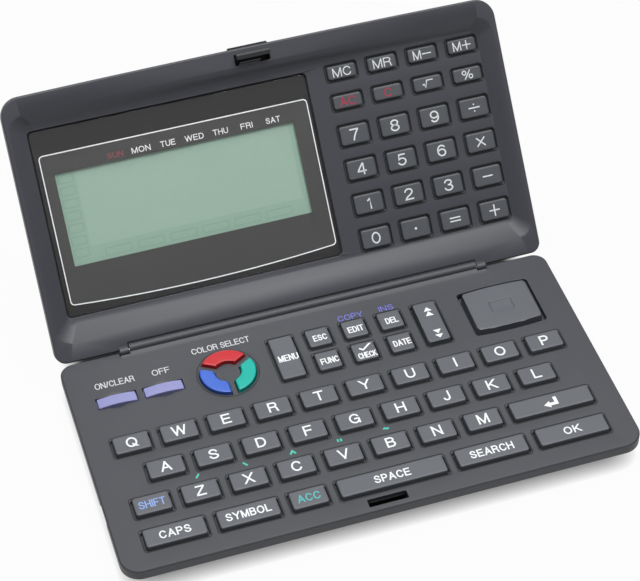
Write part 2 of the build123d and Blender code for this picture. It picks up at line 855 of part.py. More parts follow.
def port_box(grow):
    """The space of the data socket in the left wall."""
    left = -case_width / 2 + port_sink
    return block(left - (2 * port_sink if grow else 0), left + port_size[0] + grow,
                 port_place - port_size[1] / 2 - grow, port_place + port_size[1] / 2 + grow,
                 skirt_bottom, plate_bottom - (0 if grow else port_top_gap))


def data_port():
    """The small socket in the left wall."""
    left = -case_width / 2 + port_sink
    middle = (skirt_bottom + plate_bottom) / 2
    depth, width, height = port_slot
    slot = block(left - 1, left + depth, port_place - width / 2, port_place + width / 2,
                 middle - height / 2, middle + height / 2)
    return port_box(0) - slot


def hinge_pins():
    """The two steel pins, pressed into the ends of the barrel."""
    pins = [rod(*sorted((side * (barrel_half - pin_grip), side * notch_half)), hinge_y, hinge_z,
                pin_radius) for side in (-1, 1)]
    return Compound(children=pins)


def lid_lift_spring():
    """The wire behind the latch slot, lying on its two posts."""
    return rod(-lift_wire_half, lift_wire_half, from_back(lift_wire_back), face - lift_wire_drop,
               lift_wire_radius)


def ribbon_cable():
    """The flat cable from the board up to the barrel."""
    y = back - board_back_inset
    z = base_stack["sheet_top"]
    x = -barrel_half + pin_grip + ribbon_width
    bend = y + ribbon_bend
    low = block(x, x + ribbon_width, y - ribbon_run, bend, z, z + ribbon_thickness)
    rise = block(x, x + ribbon_width, bend - ribbon_thickness, bend, z, plate_bottom - fit_gap)
    return low + rise


def lid_notch(z0, z1, grow=0.0):
    """The gap in the lid's hinge edge, which clears the barrel."""
    return block(-notch_half - grow, notch_half + grow, lid_back - 5, notch_reach + grow, z0, z1)


def lid_inner_case():
    """The inner case of the lid: rim, sloping recess, key panel and hinge ears."""
    shell = extrude(lid_plan(0, cover_top), amount=rim_depth)
    shell = chamfer(shell.faces().sort_by(Axis.Z)[-1].edges(), edge_round)
    shell -= lid_notch(cover_top - 1, rim + 1)
    lip = floor_lip
    shell += extrude(plan(-floor_half - lip, floor_half + lip, floor_near - lip, floor_far + lip,
                          floor_radius, floor_radius, floor_bottom),
                     amount=cover_top - floor_bottom + 0.1)
    recess = loft([
        plan(-floor_half, floor_half, floor_near, floor_far, floor_radius, floor_radius, lid_floor),
        plan(-recess_half, recess_half, recess_near, recess_far, recess_radius, recess_radius, rim)],
        ruled=True)
    shell -= recess
    shell += window_frame()
    shell -= window_cut()
    for places in lid_keys().values():
        for x, y, width, depth in places:
            shell -= Pos(x, y, 0) * key_hole(width, depth, lid_stack, lid_hole_gap)
    for side in (-1, 1):
        shell += hinge_ear(side)
    width, near, far = hook_hole
    half = width / 2 + guide_wall
    shell += block(-half, half, near - guide_wall, lid_reach - cover_wall - fit_gap,
                   cover_top - guide_depth, cover_top + 0.1)
    shell -= block(-width / 2, width / 2, near, far, rim - 5, rim + 1)
    return shell


def window_frame():
    """The ledge under the display window that carries the display glass."""
    x, y = window_centre
    a, b = window_size[0] / 2 + ledge_lip, window_size[1] / 2 + ledge_lip
    return block(x - a, x + a, y - b, y + b, floor_bottom - window_ledge, floor_bottom)


def window_cut():
    """The opening that the window drops into, and the smaller one of the display glass."""
    x, y = window_centre
    a, b = window_size[0] / 2 + window_gap, window_size[1] / 2 + window_gap
    r = window_radius + window_gap
    pane = extrude(plan(x - a, x + a, y - b, y + b, r, r, floor_bottom), amount=floor_plate + 1)
    gx, gy = glass_centre
    c, d = glass_size[0] / 2 + glass_gap, glass_size[1] / 2 + glass_gap
    return pane + block(gx - c, gx + c, gy - d, gy + d, floor_bottom - 3, floor_bottom + 0.1)


def hinge_ear(side):
    """The round ear of the lid on one hinge pin, with the arm that joins it to the rim."""
    ends = sorted((side * (barrel_half + ear_gap), side * notch_half))
    ear = rod(*ends, 0, 0, ear_radius)
    ear += block(*ends, 0, notch_reach + ear_root, -ear_radius, rim)
    return ear - rod(ends[0] - 1, ends[1] + 1, 0, 0, pin_radius + pin_clearance)


def lid_outer_cover():
    """The outer cover of the lid, a shallow rounded tray."""
    shell = extrude(lid_plan(0, lid_outside), amount=cover_top - lid_outside)
    shell = fillet(shell.faces().sort_by(Axis.Z)[0].edges(), cover_round)
    shell -= lid_notch(lid_outside - 1, cover_top + 1)
    wall = cover_wall
    hollow = extrude(lid_plan(wall, cover_inside), amount=cover_top - cover_inside + 1)
    hollow -= lid_notch(lid_outside, cover_top + 2, wall)
    shell -= hollow
    low, high = tab_levels
    half = tab_width / 2 + tab_room
    shell -= block(-half, half, lid_reach - 3.0, lid_reach + 3.0, low - tab_room, high + tab_room)
    return shell


def display_window():
    """The clear pane over the display."""
    x, y = window_centre
    a, b = window_size[0] / 2, window_size[1] / 2
    top = lid_floor - window_drop
    pane = extrude(plan(x - a, x + a, y - b, y + b, window_radius, window_radius,
                        top - window_thickness), amount=window_thickness)
    return pane


def display_glass():
    """The liquid crystal glass below the window."""
    x, y = glass_centre
    a, b = glass_size[0] / 2, glass_size[1] / 2
    return block(x - a, x + a, y - b, y + b, glass_top - glass_thickness, glass_top)


def lid_board_box():
    """Left, right, near and far side of the lid's circuit board."""
    first = floor_half - lid_column_side - (lid_column_count - 1) * lid_column_pitch
    left, right, side = lid_board_margin
    return first - left, floor_half + right, floor_near - side, floor_far + side


def display_flex():
    """The flat connector from the display glass to the lid's circuit board."""
    glass_end = glass_centre[0] + glass_size[0] / 2
    top = glass_top - glass_thickness
    y = glass_centre[1]
    return block(glass_end - flex_lap, lid_board_box()[0], y - flex_width / 2, y + flex_width / 2,
                 top - flex_thickness, top)


def lid_circuit_board():
    """The circuit board behind the calculator keys."""
    return block(*lid_board_box(), lid_stack["board_bottom"], lid_stack["board_top"])


def lid_key_sheet():
    """The rubber sheet behind the calculator keys."""
    x0, x1, y0, y1 = lid_board_box()
    high = lid_stack["sheet_top"]
    left, side = lid_sheet_inset
    sheet = block(x0 + left, x1 - side, y0 + side, y1 - side, lid_stack["board_top"], high)
    half = pad_side / 2
    pads = [block(x - half, x + half, y - half, y + half, high - 0.1, lid_stack["pad_top"])
            for group in lid_keys().values() for x, y, width, depth in group]
    return sheet + pads


def ribbon_tail():
    """The flat cable from the lid's circuit board towards the barrel."""
    x = lid_board_box()[0] + tail_place
    low = lid_stack["board_top"] - tail_sink
    return block(x, x + ribbon_width, notch_reach + cover_wall + 2 * fit_gap, lid_board_box()[2],
                 low, low + ribbon_thickness)


def latch():
    """The latch: a hook through the rim, its beak towards the free edge, and the push tab."""
    low, high = tab_levels
    beak_low = axis_rise + face_plate + hook_gap
    beak_top = beak_low + beak_height
    hook = profile_bar(-hook_width / 2, hook_width / 2, [
        (hook_back, low), (hook_front, low), (hook_front, beak_low), (hook_tip, beak_low),
        (hook_tip, beak_low + beak_lip), (hook_front, beak_top), (hook_back, beak_top)])
    tab = block(-tab_width / 2, tab_width / 2, hook_back, tab_reach, low, high)
    tab = fillet(tab.edges().filter_by(Axis.Z).sort_by(Axis.Y)[-2:], tab_round)
    return hook + tab


def latch_spring():
    """The leaf behind the hook, bent up from its foot on the lid's outer cover."""
    low, high = tab_levels
    tip = hook_back - latch_travel - leaf_gap
    heel = tip - leaf_thickness
    floor = cover_inside
    return profile_bar(-leaf_width / 2, leaf_width / 2, [
        (heel - leaf_foot, floor), (heel, floor), (tip, low), (tip, high), (heel, high),
        (heel - leaf_thickness, floor + leaf_thickness), (heel - leaf_foot, floor + leaf_thickness)])


def all_pieces():
    """Every node of the organizer, in its place with the lid open."""
    pieces = {
        "base_upper_case": base_upper_case(), "base_lower_case": base_lower_case(),
        "battery_cover": battery_cover(), "base_screws": base_screws(),
        "base_circuit_board": base_circuit_board(), "board_chips": board_chips(),
        "base_key_sheet": base_key_sheet(), "main_batteries": main_batteries(),
        "backup_battery": backup_battery(), "battery_contacts": battery_contacts(),
        "buzzer": buzzer(), "data_port": data_port(), "hinge_pins": hinge_pins(),
        "lid_lift_spring": lid_lift_spring(), "ribbon_cable": ribbon_cable(),
        "page_rocker": page_rocker(), "cursor_pad": cursor_pad(),
        "cursor_pad_pivot": cursor_pad_pivot(), "red_key": colour_key(90),
        "blue_key": colour_key(210), "green_key": colour_key(330),
        "on_key": power_key(power_columns[0]), "off_key": power_key(power_columns[1]),
    }
    for name, places in typing_keys().items():
        pieces[name] = key_group(places, base_stack, key_rise)
    for name, places in function_keys().items():
        pieces[name] = key_group(places, base_stack, function_rise)
    in_lid_plane = {
        "lid_inner_case": lid_inner_case(), "lid_outer_cover": lid_outer_cover(),
        "display_window": display_window(), "display_glass": display_glass(),
        "display_flex": display_flex(), "lid_circuit_board": lid_circuit_board(),
        "lid_key_sheet": lid_key_sheet(), "ribbon_tail": ribbon_tail(), "latch": latch(),
        "latch_spring": latch_spring(),
    }
    for name, places in lid_keys().items():
        in_lid_plane[name] = key_group(places, lid_stack, lid_key_rise)
    pieces.update({name: in_lid(shape) for name, shape in in_lid_plane.items()})
    return pieces


def main():
    os.makedirs("parts", exist_ok=True)
    for name, shape in all_pieces().items():
        export_step(shape, f"parts/{name}.step")


main()
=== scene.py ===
import bmesh
import bpy
import json
import math
import numpy as np
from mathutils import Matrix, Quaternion, Vector

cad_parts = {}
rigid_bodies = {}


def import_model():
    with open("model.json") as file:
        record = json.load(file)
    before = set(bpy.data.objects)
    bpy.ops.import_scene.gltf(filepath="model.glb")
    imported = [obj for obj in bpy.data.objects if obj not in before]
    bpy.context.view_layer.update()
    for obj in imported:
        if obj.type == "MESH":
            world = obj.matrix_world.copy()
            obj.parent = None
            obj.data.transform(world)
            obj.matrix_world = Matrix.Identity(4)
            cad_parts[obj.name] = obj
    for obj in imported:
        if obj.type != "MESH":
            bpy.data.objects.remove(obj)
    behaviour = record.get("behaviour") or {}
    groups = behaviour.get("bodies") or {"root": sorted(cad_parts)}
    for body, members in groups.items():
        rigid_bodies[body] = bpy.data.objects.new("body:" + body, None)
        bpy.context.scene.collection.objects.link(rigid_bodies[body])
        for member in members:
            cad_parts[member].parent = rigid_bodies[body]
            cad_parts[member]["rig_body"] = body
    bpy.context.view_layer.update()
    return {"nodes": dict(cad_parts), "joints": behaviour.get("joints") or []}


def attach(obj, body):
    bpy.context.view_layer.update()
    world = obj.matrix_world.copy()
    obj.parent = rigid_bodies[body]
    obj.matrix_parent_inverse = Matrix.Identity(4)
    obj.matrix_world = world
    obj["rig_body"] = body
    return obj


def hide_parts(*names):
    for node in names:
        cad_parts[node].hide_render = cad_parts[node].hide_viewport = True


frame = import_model()
print("frame loaded, nodes:", len(frame["nodes"]))

# Sizes in this file are millimetres, and toMetres turns them for Blender.
# X runs to the user's right, Y away from the user, Z up. What belongs to the lid is first laid out in the
# lid's own plane: x along the hinge, y from the hinge axis to the free edge, z out of the keypad.
toMetres = 0.001
hinge = next(j for j in frame["joints"] if j["name"] == "lid_hinge")
hingePlace = np.array(hinge["pos_m"]) / toMetres
lidTilt = math.radians(-hinge["range_deg"][0])


def fromLid(points):
    # turned about the hinge axis by the lid's tilt, then moved to the hinge
    x, y, z = np.asarray(points, float).T
    c, s = math.cos(lidTilt), math.sin(lidTilt)
    return np.column_stack([x, y * c - z * s, y * s + z * c]) + hingePlace


def intoLid(points):
    # the opposite turn: from the table's axes to the lid's own plane
    x, y, z = (np.asarray(points, float) - hingePlace).T
    c, s = math.cos(lidTilt), math.sin(lidTilt)
    return np.column_stack([x, y * c + z * s, z * c - y * s])


def nodePoints(node, lid=False):
    # the corners of the node's mesh, in the table's axes or in the lid's plane
    mesh = frame["nodes"][node].data
    flat = np.empty(len(mesh.vertices) * 3)
    mesh.vertices.foreach_get("co", flat)
    points = flat.reshape(-1, 3) / toMetres
    return intoLid(points) if lid else points


def nodeBox(node, lid=False):
    # its lowest and highest corner
    points = nodePoints(node, lid)
    return points.min(0), points.max(0)


# Colours and materials

def linear(hexColour):
    # the sRGB curve undone: a straight toe below 0.04045, a power of 2.4 above it
    share = np.array([int(hexColour[i:i + 2], 16) for i in (1, 3, 5)]) / 255
    return tuple(np.where(share < 0.04045, share / 12.92, ((share + 0.055) / 1.055) ** 2.4)) + (1.0,)


def toned(hexColour, factor):
    # the colour's linear parts times the factor
    return tuple(part * factor for part in linear(hexColour)[:3]) + (1.0,)


def addNode(tree, kind, sockets=None, **settings):
    # sockets gives each input a value, or the output that it is linked to
    node = tree.nodes.new(kind)
    for name, value in settings.items():
        setattr(node, name, value)
    for name, value in (sockets or {}).items():
        if isinstance(value, bpy.types.NodeSocket):
            tree.links.new(value, node.inputs[name])
        else:
            node.inputs[name].default_value = value
    return node


def newMaterial(name):
    material = bpy.data.materials.new(name)
    material.use_nodes = True
    tree = material.node_tree
    return material, tree, tree.nodes["Principled BSDF"]


plastics = {  # colour, roughness, grain size in mm, grain depth in mm
    "mouldedAbsCharcoal": ("#3d3f45", 0.48, 0.32, 0.006),
    "mouldedAbsLid": ("#47484f", 0.46, 0.32, 0.006),
    "mouldedAbsLower": ("#404147", 0.48, 0.40, 0.008),
    "satinAbsKeyGrey": ("#5a5d63", 0.42, 0.22, 0.004),
    "satinAbsLidKeyGrey": ("#585b60", 0.42, 0.22, 0.004),
    "glossyAbsRed": ("#c3232c", 0.30, 0.50, 0.003),
    "glossyAbsBlue": ("#4069c9", 0.30, 0.50, 0.003),
    "glossyAbsGreen": ("#06aea0", 0.30, 0.50, 0.003),
    "satinAbsLavender": ("#8c8ebf", 0.38, 0.40, 0.003),
    "mouldedAbsBlack": ("#232427", 0.40, 0.30, 0.004),
    # painted shade: a near-black film that stands in for the shadow in a fine groove round the key holes
    "paintedGrooveShade": ("#121316", 0.60, 0.30, 0.004),
    # inside the case: pressed rubber, baked lacquer, cast resin and film, each as even as the plastic
    "siliconeRubberGrey": ("#8c8d8c", 0.70, 0.50, 0.004),
    "solderMaskGreen": ("#2f5d3c", 0.35, 0.60, 0.004),
    "epoxyBlack": ("#1d1e20", 0.60, 0.30, 0.004),
    "polyimideFilmAmber": ("#b3742c", 0.30, 0.80, 0.002),
}
plasticLook = {"flow": 25.0, "flowDetail": 2.0, "grainDetail": 3.0, "grainRoughness": 0.6, "dark": 0.93,
               "light": 1.07, "bump": 0.5, "glossSpread": 0.04, "ior": 1.53}


def mouldedPlastic(name, colour, roughness, grain, depth):
    # injection-moulded ABS from a spark-eroded mould: an even grain that softens the gloss, and a barely
    # uneven tone from the flow of the plastic; the real grain is about 0.05 mm, so it is drawn coarser to
    # show at all
    look = plasticLook
    material, tree, shader = newMaterial(name)
    place = addNode(tree, "ShaderNodeTexCoord").outputs["Object"]
    tone = addNode(tree, "ShaderNodeTexNoise", {
        "Vector": place, "Scale": 1 / (look["flow"] * toMetres), "Detail": look["flowDetail"]})
    fine = addNode(tree, "ShaderNodeTexNoise", {
        "Vector": place, "Scale": 1 / (grain * toMetres), "Detail": look["grainDetail"],
        "Roughness": look["grainRoughness"]})
    shade = addNode(tree, "ShaderNodeMix", {
        "Factor": tone.outputs["Fac"], "A": toned(colour, look["dark"]), "B": toned(colour, look["light"])},
        data_type="RGBA")
    bump = addNode(tree, "ShaderNodeBump", {
        "Height": fine.outputs["Fac"], "Strength": look["bump"], "Distance": depth * toMetres})
    gloss = addNode(tree, "ShaderNodeMapRange", {
        "Value": fine.outputs["Fac"], "To Min": roughness - look["glossSpread"],
        "To Max": roughness + look["glossSpread"]})
    tree.links.new(shade.outputs["Result"], shader.inputs["Base Color"])
    tree.links.new(bump.outputs["Normal"], shader.inputs["Normal"])
    tree.links.new(gloss.outputs["Result"], shader.inputs["Roughness"])
    shader.inputs["IOR"].default_value = look["ior"]
    return material


materials = {name: mouldedPlastic(name, *values) for name, values in plastics.items()}

inks = {
    "screenInkWhite": "#f0f2f4", "screenInkCrimson": "#c43a56", "screenInkTeal": "#4ccbb4",
    "screenInkAqua": "#58bcbc", "screenInkPaleBlue": "#8ea8e4", "screenInkIndigo": "#7679d2",
    "screenInkGrey": "#dcdde0", "screenInkBlack": "#0a0b0a", "screenInkUmber": "#383838",
    "screenInkRose": "#8c4a50",
}
inkLook = {"grain": 0.4, "detail": 2.0, "dark": 0.94, "light": 1.0, "roughness": 0.55, "specular": 0.35}
crystalFilms = {"lcdReflector": "#89a395", "lcdIconFilm": "#829f8f", "lcdIconMark": "#789585"}
crystalLook = {"grain": 0.5, "detail": 2.0, "dark": 0.97, "light": 1.03, "roughness": 0.6, "specular": 0.5}


def thinFilm(name, colour, look):
    # screen-printed ink is an opaque matt film with a slightly uneven laydown, and the brushed reflector
    # behind the liquid crystal and its unlit segments are a dull green grey, faintly grained; both grains
    # are about 0.1 mm and are drawn coarser to show at all
    material, tree, shader = newMaterial(name)
    place = addNode(tree, "ShaderNodeTexCoord").outputs["Object"]
    grain = addNode(tree, "ShaderNodeTexNoise", {
        "Vector": place, "Scale": 1 / (look["grain"] * toMetres), "Detail": look["detail"]})
    shade = addNode(tree, "ShaderNodeMix", {
        "Factor": grain.outputs["Fac"], "A": toned(colour, look["dark"]), "B": toned(colour, look["light"])},
        data_type="RGBA")
    tree.links.new(shade.outputs["Result"], shader.inputs["Base Color"])
    shader.inputs["Roughness"].default_value = look["roughness"]
    shader.inputs["Specular IOR Level"].default_value = look["specular"]
    return material


materials.update({name: thinFilm(name, colour, inkLook) for name, colour in inks.items()})
materials.update({name: thinFilm(name, colour, crystalLook) for name, colour in crystalFilms.items()})

acrylicLook = {"wavesPerMetre": 60.0, "detail": 1.0, "bump": 0.1, "depth": 0.002, "roughness": 0.02,
               "ior": 1.49, "specular": 0.3}


def clearAcrylic(name):
    # cast acrylic pane: clear, polished, with the faintest unevenness in its surface
    look = acrylicLook
    material, tree, shader = newMaterial(name)
    place = addNode(tree, "ShaderNodeTexCoord").outputs["Object"]
    wave = addNode(tree, "ShaderNodeTexNoise", {
        "Vector": place, "Scale": look["wavesPerMetre"], "Detail": look["detail"]})
    bump = addNode(tree, "ShaderNodeBump", {
        "Height": wave.outputs["Fac"], "Strength": look["bump"], "Distance": look["depth"] * toMetres})
    tree.links.new(bump.outputs["Normal"], shader.inputs["Normal"])
    shader.inputs["Base Color"].default_value = (1.0, 1.0, 1.0, 1.0)
    shader.inputs["Transmission Weight"].default_value = 1.0
    shader.inputs["Roughness"].default_value = look["roughness"]
    shader.inputs["IOR"].default_value = look["ior"]
    shader.inputs["Specular IOR Level"].default_value = look["specular"]
    return material


materials["clearAcrylic"] = clearAcrylic("clearAcrylic")

metals = {  # colour, roughness
    "nickelPlatedSteel": ("#b9bab8", 0.3), "springSteelWire": ("#8f9092", 0.35),
}
metalLook = {"streak": 0.3, "detail": 3.0, "glossSpread": 0.06}


def drawnMetal(name, colour, roughness):
    # drawn or plated steel: fine streaks in its gloss
    look = metalLook
    material, tree, shader = newMaterial(name)
    place = addNode(tree, "ShaderNodeTexCoord").outputs["Object"]
    streak = addNode(tree, "ShaderNodeTexNoise", {
        "Vector": place, "Scale": 1 / (look["streak"] * toMetres), "Detail": look["detail"]})
    gloss = addNode(tree, "ShaderNodeMapRange", {
        "Value": streak.outputs["Fac"], "To Min": roughness - look["glossSpread"],
        "To Max": roughness + look["glossSpread"]})
    tree.links.new(gloss.outputs["Result"], shader.inputs["Roughness"])
    shader.inputs["Base Color"].default_value = linear(colour)
    shader.inputs["Metallic"].default_value = 1.0
    return material


materials.update({name: drawnMetal(name, *values) for name, values in metals.items()})

nodeFinish = {
    "mouldedAbsCharcoal": ["base_upper_case"],
    "mouldedAbsLower": ["base_lower_case", "battery_cover", "lid_outer_cover"],
    "mouldedAbsLid": ["lid_inner_case"],
    "mouldedAbsBlack": ["latch", "data_port"],
    "satinAbsKeyGrey": ["page_rocker", "cursor_pad", "cursor_pad_pivot"],
    "clearAcrylic": ["display_window"],
    "nickelPlatedSteel": ["base_screws", "main_batteries", "backup_battery", "hinge_pins", "battery_contacts",
                          "buzzer"],
    "springSteelWire": ["latch_spring", "lid_lift_spring"],
    "siliconeRubberGrey": ["base_key_sheet", "lid_key_sheet"],
    "solderMaskGreen": ["base_circuit_board", "lid_circuit_board"],
    "epoxyBlack": ["board_chips"],
    "polyimideFilmAmber": ["ribbon_cable", "ribbon_tail", "display_flex"],
    "lcdReflector": ["display_glass"],
    "glossyAbsRed": ["red_key"], "glossyAbsBlue": ["blue_key"], "glossyAbsGreen": ["green_key"],
    "satinAbsLavender": ["on_key", "off_key"],
}
for finish, nodes in nodeFinish.items():
    for node in nodes:
        slots = frame["nodes"][node].data.materials
        slots.clear()
        slots.append(materials[finish])
print("materials made:", len(materials))


# Shapes

def bodyOf(node):
    # the body that carries the node
    return frame["nodes"][node]["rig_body"]


def linked(name, data):
    thing = bpy.data.objects.new(name, data)
    bpy.context.scene.collection.objects.link(thing)
    return thing


def shadeSmooth(mesh, crease):
    # smooth shading, broken at edges that turn by more than crease degrees
    mesh.polygons.foreach_set("use_smooth", [True] * len(mesh.polygons))
    mesh.set_sharp_from_angle(angle=math.radians(crease))


def addPiece(name, points, faces, material, body, replaced=(), crease=40.0):
    # one mesh that rides on a body and stands in for the nodes in replaced
    mesh = bpy.data.meshes.new(name)
    mesh.from_pydata((np.asarray(points) * toMetres).tolist(), [], faces)
    shadeSmooth(mesh, crease)
    mesh.materials.append(materials[material])
    piece = linked(name, mesh)
    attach(piece, body)
    if replaced:
        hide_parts(*replaced)
    return piece


def circlePoints(count):
    # (cos, sin) of equal turns, anticlockwise
    turns = np.arange(count) * 2 * math.pi / count
    return np.column_stack([np.cos(turns), np.sin(turns)])


def roundedPlate(halfX, halfY, radius, steps=6):
    # anticlockwise: the centre of each corner plus radius times (cos, sin), a quarter turn each
    turn = np.linspace(0, math.pi / 2, steps + 1) + np.arange(4)[:, None] * math.pi / 2
    across = np.array([1, -1, -1, 1])[:, None] * (halfX - radius)
    along = np.array([1, 1, -1, -1])[:, None] * (halfY - radius)
    return np.stack([across + radius * np.cos(turn), along + radius * np.sin(turn)], -1).reshape(-1, 2)


def drawnIn(outline, distance):
    # every corner moves along the sum of its two sides' inward normals, divided by one plus their product,
    # which shifts both sides by the distance
    side = np.roll(outline, -1, 0) - outline
    normal = np.column_stack([-side[:, 1], side[:, 0]]) / np.linalg.norm(side, axis=1)[:, None]
    before = np.roll(normal, 1, 0)
    return outline + distance * (normal + before) / (1 + (normal * before).sum(1))[:, None]


def softProfile(corners, steps=4):
    # corners are (inset, level, radius); each one with a radius becomes a quadratic curve between the points
    # that lie a radius before and after it, or halfway to the next corner where that is nearer
    corners = np.array(corners, float)
    t = np.linspace(0, 1, steps + 1)[:, None]
    rows = []
    for i, (place, radius) in enumerate(zip(corners[:, :2], corners[:, 2])):
        if radius == 0:
            rows.append(place[None])
            continue
        back = corners[i - 1, :2] - place
        ahead = corners[i + 1, :2] - place
        start = place + back * min(radius / np.linalg.norm(back), 1 / 2)
        end = place + ahead * min(radius / np.linalg.norm(ahead), 1 / 2)
        rows.append((1 - t) ** 2 * start + 2 * t * (1 - t) * place + t ** 2 * end)
    return np.concatenate(rows)


def stackedRings(rings, around=False):
    # rings is (levels, points, 3); each square face joins two neighbours of one ring to the next ring, and
    # around joins the last ring to the first
    levels, count = rings.shape[:2]
    here = np.arange(count)
    ahead = np.roll(here, -1)
    first = (np.arange(levels if around else levels - 1) * count)[:, None]
    upper = (first + count) % (levels * count)
    faces = np.stack([first + here, first + ahead, upper + ahead, upper + here], -1)
    return rings.reshape(-1, 3), faces.reshape(-1, 4).tolist()


def risingShape(outline, profile):
    # the outline at every row of the profile, drawn in by its inset and set at its level, both ends closed
    rings = np.stack([np.column_stack([drawnIn(outline, inset), np.full(len(outline), level)])
                      for inset, level in profile])
    points, faces = stackedRings(rings)
    count = len(outline)
    return points, faces + [list(range(count))[::-1], list(range(len(points) - count, len(points)))]


def joined(parts):
    # several shapes in one mesh: each one's faces count on from the points before it
    starts = np.cumsum([0] + [len(points) for points, faces in parts[:-1]])
    points = np.concatenate([points for points, faces in parts])
    faces = [[int(start) + i for i in face] for start, (_, part) in zip(starts, parts) for face in part]
    return points, faces


inkFilm = 0.02  # the thickness of a printed film


def filmBetween(outer, inner, level, thickness=inkFilm):
    # a flat band between two outlines of as many points
    low, high = np.full((len(outer), 1), level), np.full((len(outer), 1), level + thickness)
    rings = np.stack([np.hstack([outer, low]), np.hstack([outer, high]), np.hstack([inner, high]),
                      np.hstack([inner, low])])
    return stackedRings(rings, True)


softCopy = {"merge": 0.002, "crease": 28.0, "steps": 2, "flatWeight": 100}


def softenedCopy(node, width, turn):
    # the node's own shape, merged into one skin, with every edge sharper than turn rounded to width
    source = frame["nodes"][node]
    mesh = source.data.copy()
    mesh.name = node + "_softened"
    skin = bmesh.new()
    skin.from_mesh(mesh)
    bmesh.ops.remove_doubles(skin, verts=skin.verts, dist=softCopy["merge"] * toMetres)
    skin.to_mesh(mesh)
    skin.free()
    shadeSmooth(mesh, softCopy["crease"])
    piece = linked(mesh.name, mesh)
    bevel = piece.modifiers.new("softEdges", "BEVEL")
    bevel.width = width * toMetres
    bevel.segments = softCopy["steps"]
    bevel.limit_method = "ANGLE"
    bevel.angle_limit = math.radians(turn)
    bevel.use_clamp_overlap = False
    bevel.miter_outer = "MITER_ARC"
    shade = piece.modifiers.new("flatFaces", "WEIGHTED_NORMAL")
    shade.weight = softCopy["flatWeight"]
    shade.keep_sharp = True
    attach(piece, bodyOf(node))
    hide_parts(node)


# Keys

keyShape = {  # each flange is its top's and its underside's depth below the key's top
    "lip": 0.7, "draft": 0.12, "edge": 0.42, "corner": 0.78, "support": 0.62, "lidClear": 0.2, "seam": 0.01,
    "typingFlange": (2.35, 3.0), "functionFlange": (2.1, 2.75), "lidFlange": (1.5, 1.85),
}
functionKeys = ["menu_key", "escape_key", "function_key", "edit_key", "check_key", "delete_key", "date_key"]
typingKeys = ["shift_key", "accent_key", "enter_key", "caps_key", "symbol_key", "space_key", "search_key",
              "ok_key"]
keyRows = {"letter_keys_top_row": 10, "letter_keys_middle_row": 9, "letter_keys_bottom_row": 7}
lidRows = ["memory_keys", "clear_keys", "number_keys_789", "number_keys_456", "number_keys_123",
           "number_keys_0"]
keysInLidRow = 4


def keyCap(halfX, halfY, top, flange):
    # flange, drafted wall, rounded top edge and flat top
    high, low = top - flange[0], top - flange[1]
    draft = keyShape["draft"]
    lip = keyShape["lip"]
    profile = softProfile([
        (-lip, low, 0), (-lip, high, 0), (0, high, 0), (0, high + keyShape["seam"], 0),
        (draft, top, keyShape["edge"]), (draft + keyShape["support"], top, 0)])
    return risingShape(roundedPlate(halfX, halfY, keyShape["corner"]), profile)


def keyCentres(node, count, lid):
    # the node's keys stand at even steps between its ends; the first one's width is read from its points
    low, high = nodeBox(node, lid)
    halfX, halfY = (high - low)[:2] / 2
    if count > 1:
        xs = nodePoints(node, lid)[:, 0]
        halfX = (xs[xs < low[0] + 2 * halfX / count].max() - low[0]) / 2
    middles = np.linspace(low[0] + halfX, high[0] - halfX, count)
    return [(x, (low[1] + high[1]) / 2) for x in middles], halfX, halfY, high[2]


keyPlaces, keyHalves = {}, {}


def addKeys(node, count, lid, material):
    # all the node's keys as one piece; their middles and half sizes are kept for the prints
    centres, halfX, halfY, top = keyCentres(node, count, lid)
    keyPlaces[node] = centres, top
    keyHalves[node] = halfX - keyShape["lip"], halfY - keyShape["lip"]
    kind = "lidFlange" if lid else "functionFlange" if node in functionKeys else "typingFlange"
    clear = keyShape["lip"] + (keyShape["lidClear"] if lid else 0.0)
    points, faces = keyCap(halfX - clear, halfY - clear, top, keyShape[kind])
    points, faces = joined([(points + np.array([x, y, 0]), faces) for x, y in centres])
    points = fromLid(points) if lid else points
    addPiece(node.replace("_key", "_cap") + "_dressed", points, faces, material, bodyOf(node),
             [node])


for node in functionKeys + typingKeys:
    addKeys(node, 1, False, "satinAbsKeyGrey")
for node, count in keyRows.items():
    addKeys(node, count, False, "satinAbsKeyGrey")
for node in lidRows:
    addKeys(node, keysInLidRow, True, "satinAbsLidKeyGrey")
print("keys made:", len(keyPlaces))

# painted shade: a fine dark film runs round each key hole and round the colour keys, standing in for the
# shadow of a groove
faceLevel = 9.4
keyHole = {"distance": 0.5, "width": 0.36, "corner": 1.05, "level": faceLevel}
lidHole = {"distance": 0.3, "width": 0.24, "corner": 0.95, "level": -2.85}
holeShadeLine = {"thickness": 0.012, "ringMiddle": (-27.1, 20.45), "ringRadius": 8.3, "ringPoints": 72}


def shadeLineRound(halfX, halfY, x, y, hole):
    # a band of painted shade round a key: the key's outline pushed out by distance and width, and the same
    # one drawn in again by the width
    reach = hole["distance"] + hole["width"]
    outer = roundedPlate(halfX + reach, halfY + reach, hole["corner"]) + [x, y]
    return filmBetween(outer, drawnIn(outer, hole["width"]), hole["level"], holeShadeLine["thickness"])


shapes = [shadeLineRound(*keyHalves[node], x, y, keyHole) for node in keyPlaces if node not in lidRows
          for x, y in keyPlaces[node][0]]
low, high = nodeBox("page_rocker")
shapes.append(shadeLineRound(*(high - low)[:2] / 2 - keyShape["lip"], *(high + low)[:2] / 2, keyHole))
ring = circlePoints(holeShadeLine["ringPoints"])
shapes.append(filmBetween(ring * (holeShadeLine["ringRadius"] + keyHole["width"]) + holeShadeLine["ringMiddle"],
                          ring * holeShadeLine["ringRadius"] + holeShadeLine["ringMiddle"], faceLevel,
                          holeShadeLine["thickness"]))
points, faces = joined(shapes)
addPiece("key_hole_painted_shade_lines", points, faces, "paintedGrooveShade", "base", crease=30.0)
